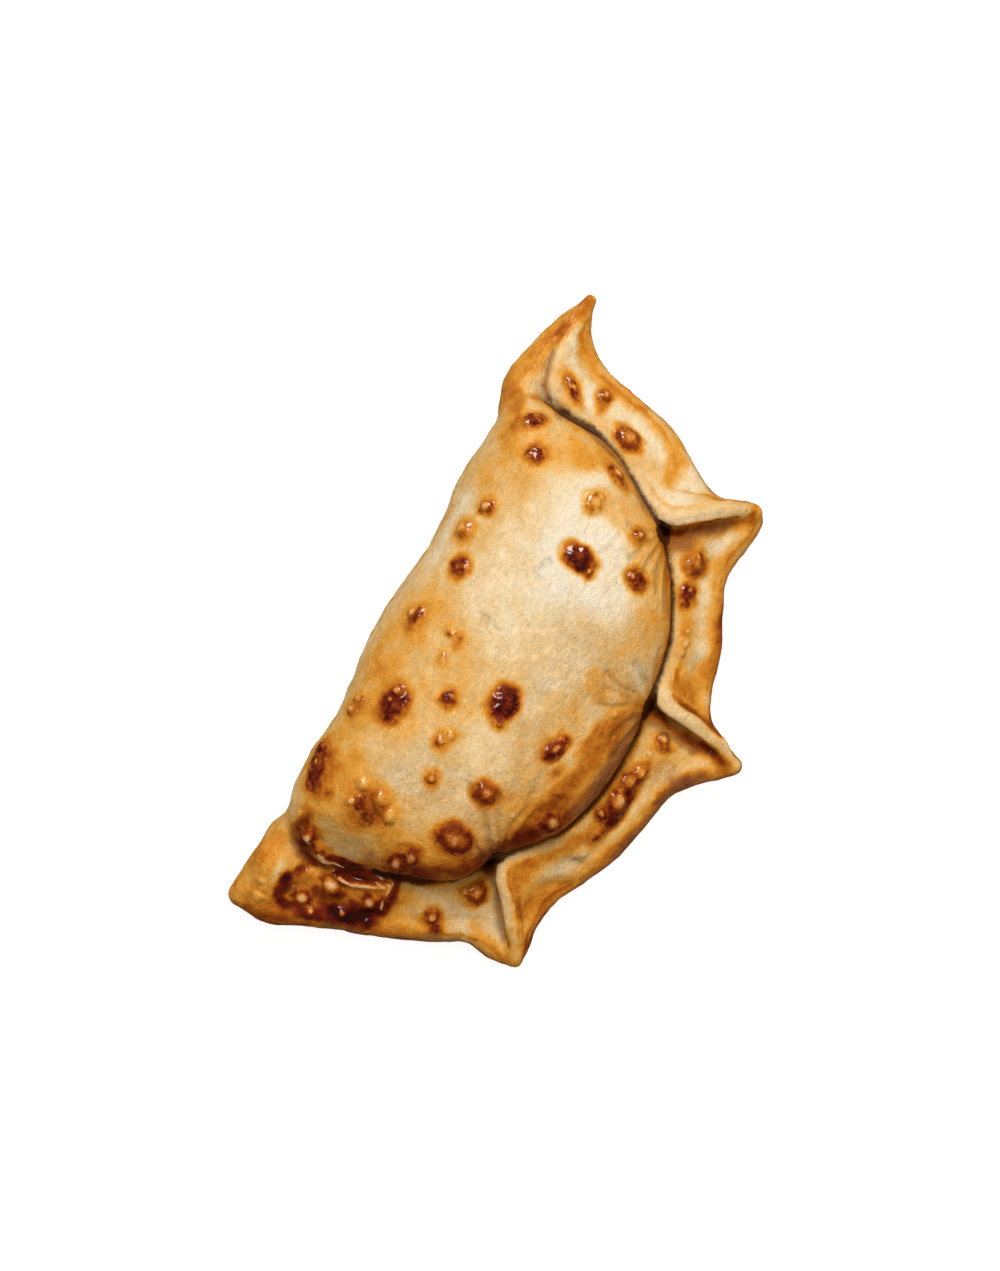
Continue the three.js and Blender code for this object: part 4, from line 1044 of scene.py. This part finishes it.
def crust_material():
    """The place on the bake scale is the brown mask with noise. It is raised to a share of a spot's level in
    the halo and to all of it in the core, and lowered again in the lighter middle. The other masks blend
    colours over it. The shine follows the cores and the glaze."""
    material = bpy.data.materials.new("baked_crust")
    material.use_nodes = True
    tree = material.node_tree
    shader = tree.nodes["Principled BSDF"]
    place = add(tree, "ShaderNodeTexCoord").outputs["Object"]
    mask = {name: add(tree, "ShaderNodeAttribute", dict(attribute_name=name)).outputs["Fac"]
            for name in masks}

    def field(size_mm, detail, rough, warp=0.0, at=place):
        """Noise from 0 to 1 that changes over a distance of size_mm."""
        return add(tree, "ShaderNodeTexNoise", Vector=at, Scale=1 / (size_mm * MM), Detail=detail,
                   Roughness=rough, Distortion=warp).outputs["Fac"]

    def times(a, b):
        """a * b"""
        return maths(tree, "MULTIPLY", a, b)

    def larger(a, b):
        """The larger of a and b."""
        return maths(tree, "MAXIMUM", a, b)

    def swing(noise_socket, amount):
        """Noise made to swing between -amount and amount: (noise - 0.5) * 2 * amount."""
        return times(maths(tree, "SUBTRACT", noise_socket, 0.5), 2 * amount)

    def total(*sockets):
        """The sum of all the sockets and values."""
        result = sockets[0]
        for socket in sockets[1:]:
            result = maths(tree, "ADD", result, socket)
        return result

    def eased(value, low, high):
        """0 at low and 1 at high, eased between as in ease."""
        return add(tree, "ShaderNodeMapRange", dict(interpolation_type="SMOOTHSTEP"), Value=value,
                   From_Min=low, From_Max=high).outputs[0]

    def mixed(share, a, b):
        """The value that lies the given share of the way from a to b, as in mix."""
        return add(tree, "ShaderNodeMix", i0=share, i2=a, i3=b).outputs[0]

    # Noise of four sizes, and streaks drawn out along one direction in plan
    patches, blotches = field(7, 3, 0.48, 0.4), field(2.4, 4, 0.6, 0.3)
    grains, crumbs = field(1.1, 3, 0.7), field(0.5, 2, 0.7)
    drawn_out = add(tree, "ShaderNodeMapping", Vector=place, Rotation=(0, 0, 0.5), Scale=(0.6, 1.2, 1))
    strokes = field(1.6, 4, 0.65, 1.2, drawn_out.outputs[0])

    # The place on the bake scale: the crust itself, then halo, core and lighter middle of each spot
    uneven = total(swing(patches, 0.24), times(swing(blotches, 0.14), total(1.0, mask["dull"])))
    fine = total(swing(grains, 0.035), swing(crumbs, 0.015))
    baked = total(mask["brown"], times(uneven, times(total(0.15, mask["brown"]), 1.4)),
                  times(fine, total(1.0, times(mask["brown"], -0.9))))
    edge = total(mask["spot"], swing(blotches, 0.5), swing(grains, 0.3))
    halo = eased(total(edge, swing(patches, 0.8)), -2.1, 0.1)
    core = eased(edge, -0.6, 0.8)
    warm = times(mask["level"], HALO_LEVEL)
    baked = mixed(halo, baked, larger(baked, warm))
    deep = total(mask["level"], swing(blotches, 0.5), swing(grains, 0.24),
                 times(eased(edge, 1.6, 0.1), -0.16))
    baked = mixed(core, baked, larger(baked, deep))
    centre = eased(total(mask["middle"], swing(grains, 0.5), swing(blotches, 0.3)), -0.45, 0.55)
    lighter = total(0.08, times(mask["level"], 0.4), swing(blotches, 0.34))
    baked = mixed(times(centre, 0.86), baked, lighter)
    under = total(0.5, swing(patches, 0.5), swing(blotches, 0.3))
    baked = mixed(mask["base"], baked, under)
    colour = ramp(tree, baked, BAKE_SCALE)

    # Over that colour: pale blister tops with painted glints, damp places, painted shade in crevices and on
    # turned-away edges, streaks, specks, and painted shade in creases, hollows and wrinkles
    # Painted highlight: the tops of blisters, partly their own paler skin and partly a painted glint, and the
    # pale runs, a painted glint, blend towards a pale pink.
    top = eased(total(mask["middle"], swing(grains, 0.8)), 0.25, 0.95)
    paler = total(0.4, times(mask["glazed"], 0.3))
    colour = blend(tree, times(top, paler), colour, BLISTER_TOP_AND_GLINT)
    plain = maths(tree, "SUBTRACT", 1.0, halo)
    dull_share = times(times(mask["dull"], plain), 0.5)
    colour = blend(tree, dull_share, colour, DAMP)
    colour = blend(tree, times(mask["grey"], 0.6), colour, SHADED)
    streaky = times(swing(strokes, 0.26), total(1.0, mask["dull"]))
    light = total(1.0, streaky, swing(grains, 0.15), swing(crumbs, 0.26))
    even = add(tree, "ShaderNodeCombineColor", Red=light, Green=light, Blue=light).outputs[0]
    colour = blend(tree, 1.0, colour, even, "MULTIPLY")
    dots = add(tree, "ShaderNodeTexVoronoi", Vector=place, Scale=1 / (3.1 * MM), Randomness=1.0)
    in_dot = maths(tree, "LESS_THAN", dots.outputs["Distance"], 0.075)
    speck = times(in_dot, maths(tree, "GREATER_THAN", blotches, 0.5))
    colour = blend(tree, times(speck, 0.5), colour, SPECK)
    # Painted shade: hollows, wrinkles and the crease between the pocket and the hem are darkened towards one
    # dark brown.
    painted_hollow_shade = larger(times(mask["valley"], 0.36), times(mask["furrow"], 0.4))
    painted_crease_shade = eased(total(mask["seam"], swing(blotches, 0.5), swing(grains, 0.3)), 1.1, 0.1)
    dark = larger(painted_hollow_shade, painted_crease_shade)
    colour = blend(tree, times(dark, 0.92), colour, PAINTED_CREASE_SHADE)
    tree.links.new(colour, shader.inputs["Base Color"])

    # Burns and glaze shine, the rest of the crust is nearly matt
    gloss = larger(times(core, 0.85), eased(mask["glazed"], 0.2, 0.7))
    rough = total(0.6, times(gloss, -0.1), swing(grains, 0.1))
    tree.links.new(rough, shader.inputs["Roughness"])
    tree.links.new(total(0.05, times(gloss, 0.6)), shader.inputs["Coat Weight"])
    shader.inputs["Coat Roughness"].default_value = 0.12
    shader.inputs["Specular IOR Level"].default_value = 0.04
    shader.inputs["Subsurface Weight"].default_value = 0.08
    shader.inputs["Subsurface Radius"].default_value = (1.0, 0.5, 0.25)
    shader.inputs["Subsurface Scale"].default_value = 2 * MM

    # Grain too fine for the mesh
    height = total(swing(grains, 0.26), swing(strokes, 0.4), swing(blotches, 0.34), swing(crumbs, 0.1),
                   times(mask["furrow"], -0.5))
    bump = add(tree, "ShaderNodeBump", Height=height, Strength=0.7, Distance=1 * MM)
    tree.links.new(bump.outputs[0], shader.inputs["Normal"])
    return material


crust_piece.data.materials.append(crust_material())
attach(crust_piece, "root")
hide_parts(NODE)
print("crust material:", len(crust_piece.data.materials[0].node_tree.nodes), "nodes")

# %% [markdown]
# ## The studio
#
# The photograph looks straight down on the piece, on white. Its light is broad and comes from beyond the
# horn's end, so creases and lips are dark on the side of the blunt corner.

# %% Floor
FLOOR_HALF = 2.0  # m
FLOOR_LEVEL = -0.0002  # m, just under the piece


def floor():
    """A square that the camera sees as white. To light it is pale and sends some back to the piece, and in
    reflections it is black."""
    x, y = np.meshgrid([-FLOOR_HALF, FLOOR_HALF], [-FLOOR_HALF, FLOOR_HALF])
    points = np.stack([x, y, np.full_like(x, FLOOR_LEVEL)], 2).reshape(-1, 3)
    mesh = bpy.data.meshes.new("floor")
    mesh.from_pydata(points.tolist(), [], [[0, 1, 3, 2]])
    material = bpy.data.materials.new("floor_paint")
    material.use_nodes = True
    shader = material.node_tree.nodes["Principled BSDF"]
    shader.inputs["Roughness"].default_value = 0.9
    shader.inputs["Emission Color"].default_value = (1, 1, 1, 1)
    tree = material.node_tree
    rays = add(tree, "ShaderNodeLightPath").outputs
    tree.links.new(maths(tree, "MULTIPLY", rays["Is Camera Ray"], 0.88), shader.inputs["Emission Strength"])
    pale = add(tree, "ShaderNodeMapRange", Value=rays["Is Camera Ray"], To_Min=0.6, To_Max=0.35).outputs[0]
    pale = maths(tree, "MULTIPLY", pale, maths(tree, "SUBTRACT", 1.0, rays["Is Glossy Ray"]))
    tree.links.new(pale, shader.inputs["Base Color"])
    mesh.materials.append(material)
    return placed("floor", mesh)


floor()

# %% Light
FRAME_RIGHT = np.array([0.477, -0.879])  # the photograph's direction to the right, in plan


def soft_light(name, up, right, height, size, power, tint=(1, 1, 1)):
    """A square light over the piece, given by its place in the photograph's own directions, aimed at it."""
    data = bpy.data.lights.new(name, "AREA")
    data.size, data.energy, data.shape, data.color = size, power, "SQUARE", tint
    made = placed(name, data)
    plan = up * FRAME_UP + right * FRAME_RIGHT
    made.location = (*plan, height)
    made.rotation_euler = Vector((plan[0], plan[1], height)).to_track_quat("Z", "Y").to_euler()
    return made


WARM, ROSY = (1, 0.94, 0.84), (1, 0.86, 0.8)
soft_light("key", 0.76, -0.14, 1.36, 0.55, 19).visible_glossy = False
soft_light("fill", -0.1, 0.85, 1.0, 1.0, 4.6, WARM).visible_glossy = False
soft_light("sparkle", 1.1, -0.1, 0.8, 0.5, 30, ROSY).visible_diffuse = False
soft_light("high_sparkle", 0.5, -0.35, 1.25, 0.3, 7, ROSY).visible_diffuse = False
world = bpy.data.worlds.new("studio")
world.use_nodes = True
tree = world.node_tree
backdrop = tree.nodes["Background"]
rays = add(tree, "ShaderNodeLightPath").outputs
glow = add(tree, "ShaderNodeMapRange", Value=rays["Is Camera Ray"], To_Min=0.24, To_Max=0.9).outputs[0]
mirrored = add(tree, "ShaderNodeMapRange", Value=rays["Is Glossy Ray"], To_Min=1.0, To_Max=0.2).outputs[0]
tree.links.new(maths(tree, "MULTIPLY", glow, mirrored), backdrop.inputs["Strength"])
tint = blend(tree, rays["Is Camera Ray"], (*WARM, 1), (1, 1, 1, 1))
tree.links.new(tint, backdrop.inputs["Color"])
bpy.context.scene.world = world
bpy.context.scene.view_settings.view_transform = "Standard"
bpy.context.scene.view_settings.look = "None"

# %% Camera
CENTRE = (2.75, 19.93)  # mm, the point in plan under the middle of the photograph
FRAME_HEIGHT = 321.8  # mm, what the photograph's height spans at the level of the hem
LENS, SENSOR = 100, 36
HEM_LEVEL = 10
camera_data = bpy.data.cameras.new("camera")
camera_data.lens, camera_data.sensor_width, camera_data.sensor_fit = LENS, SENSOR, "AUTO"
camera = placed("camera", camera_data)
distance = FRAME_HEIGHT * LENS / SENSOR
camera.location = (CENTRE[0] * MM, CENTRE[1] * MM, (HEM_LEVEL + distance) * MM)
camera.rotation_euler = (0, 0, math.atan2(-FRAME_UP[0], FRAME_UP[1]))
camera_data.clip_start, camera_data.clip_end = 0.01, 20
bpy.context.scene.camera = camera
print("camera", [round(v, 3) for v in camera.location])
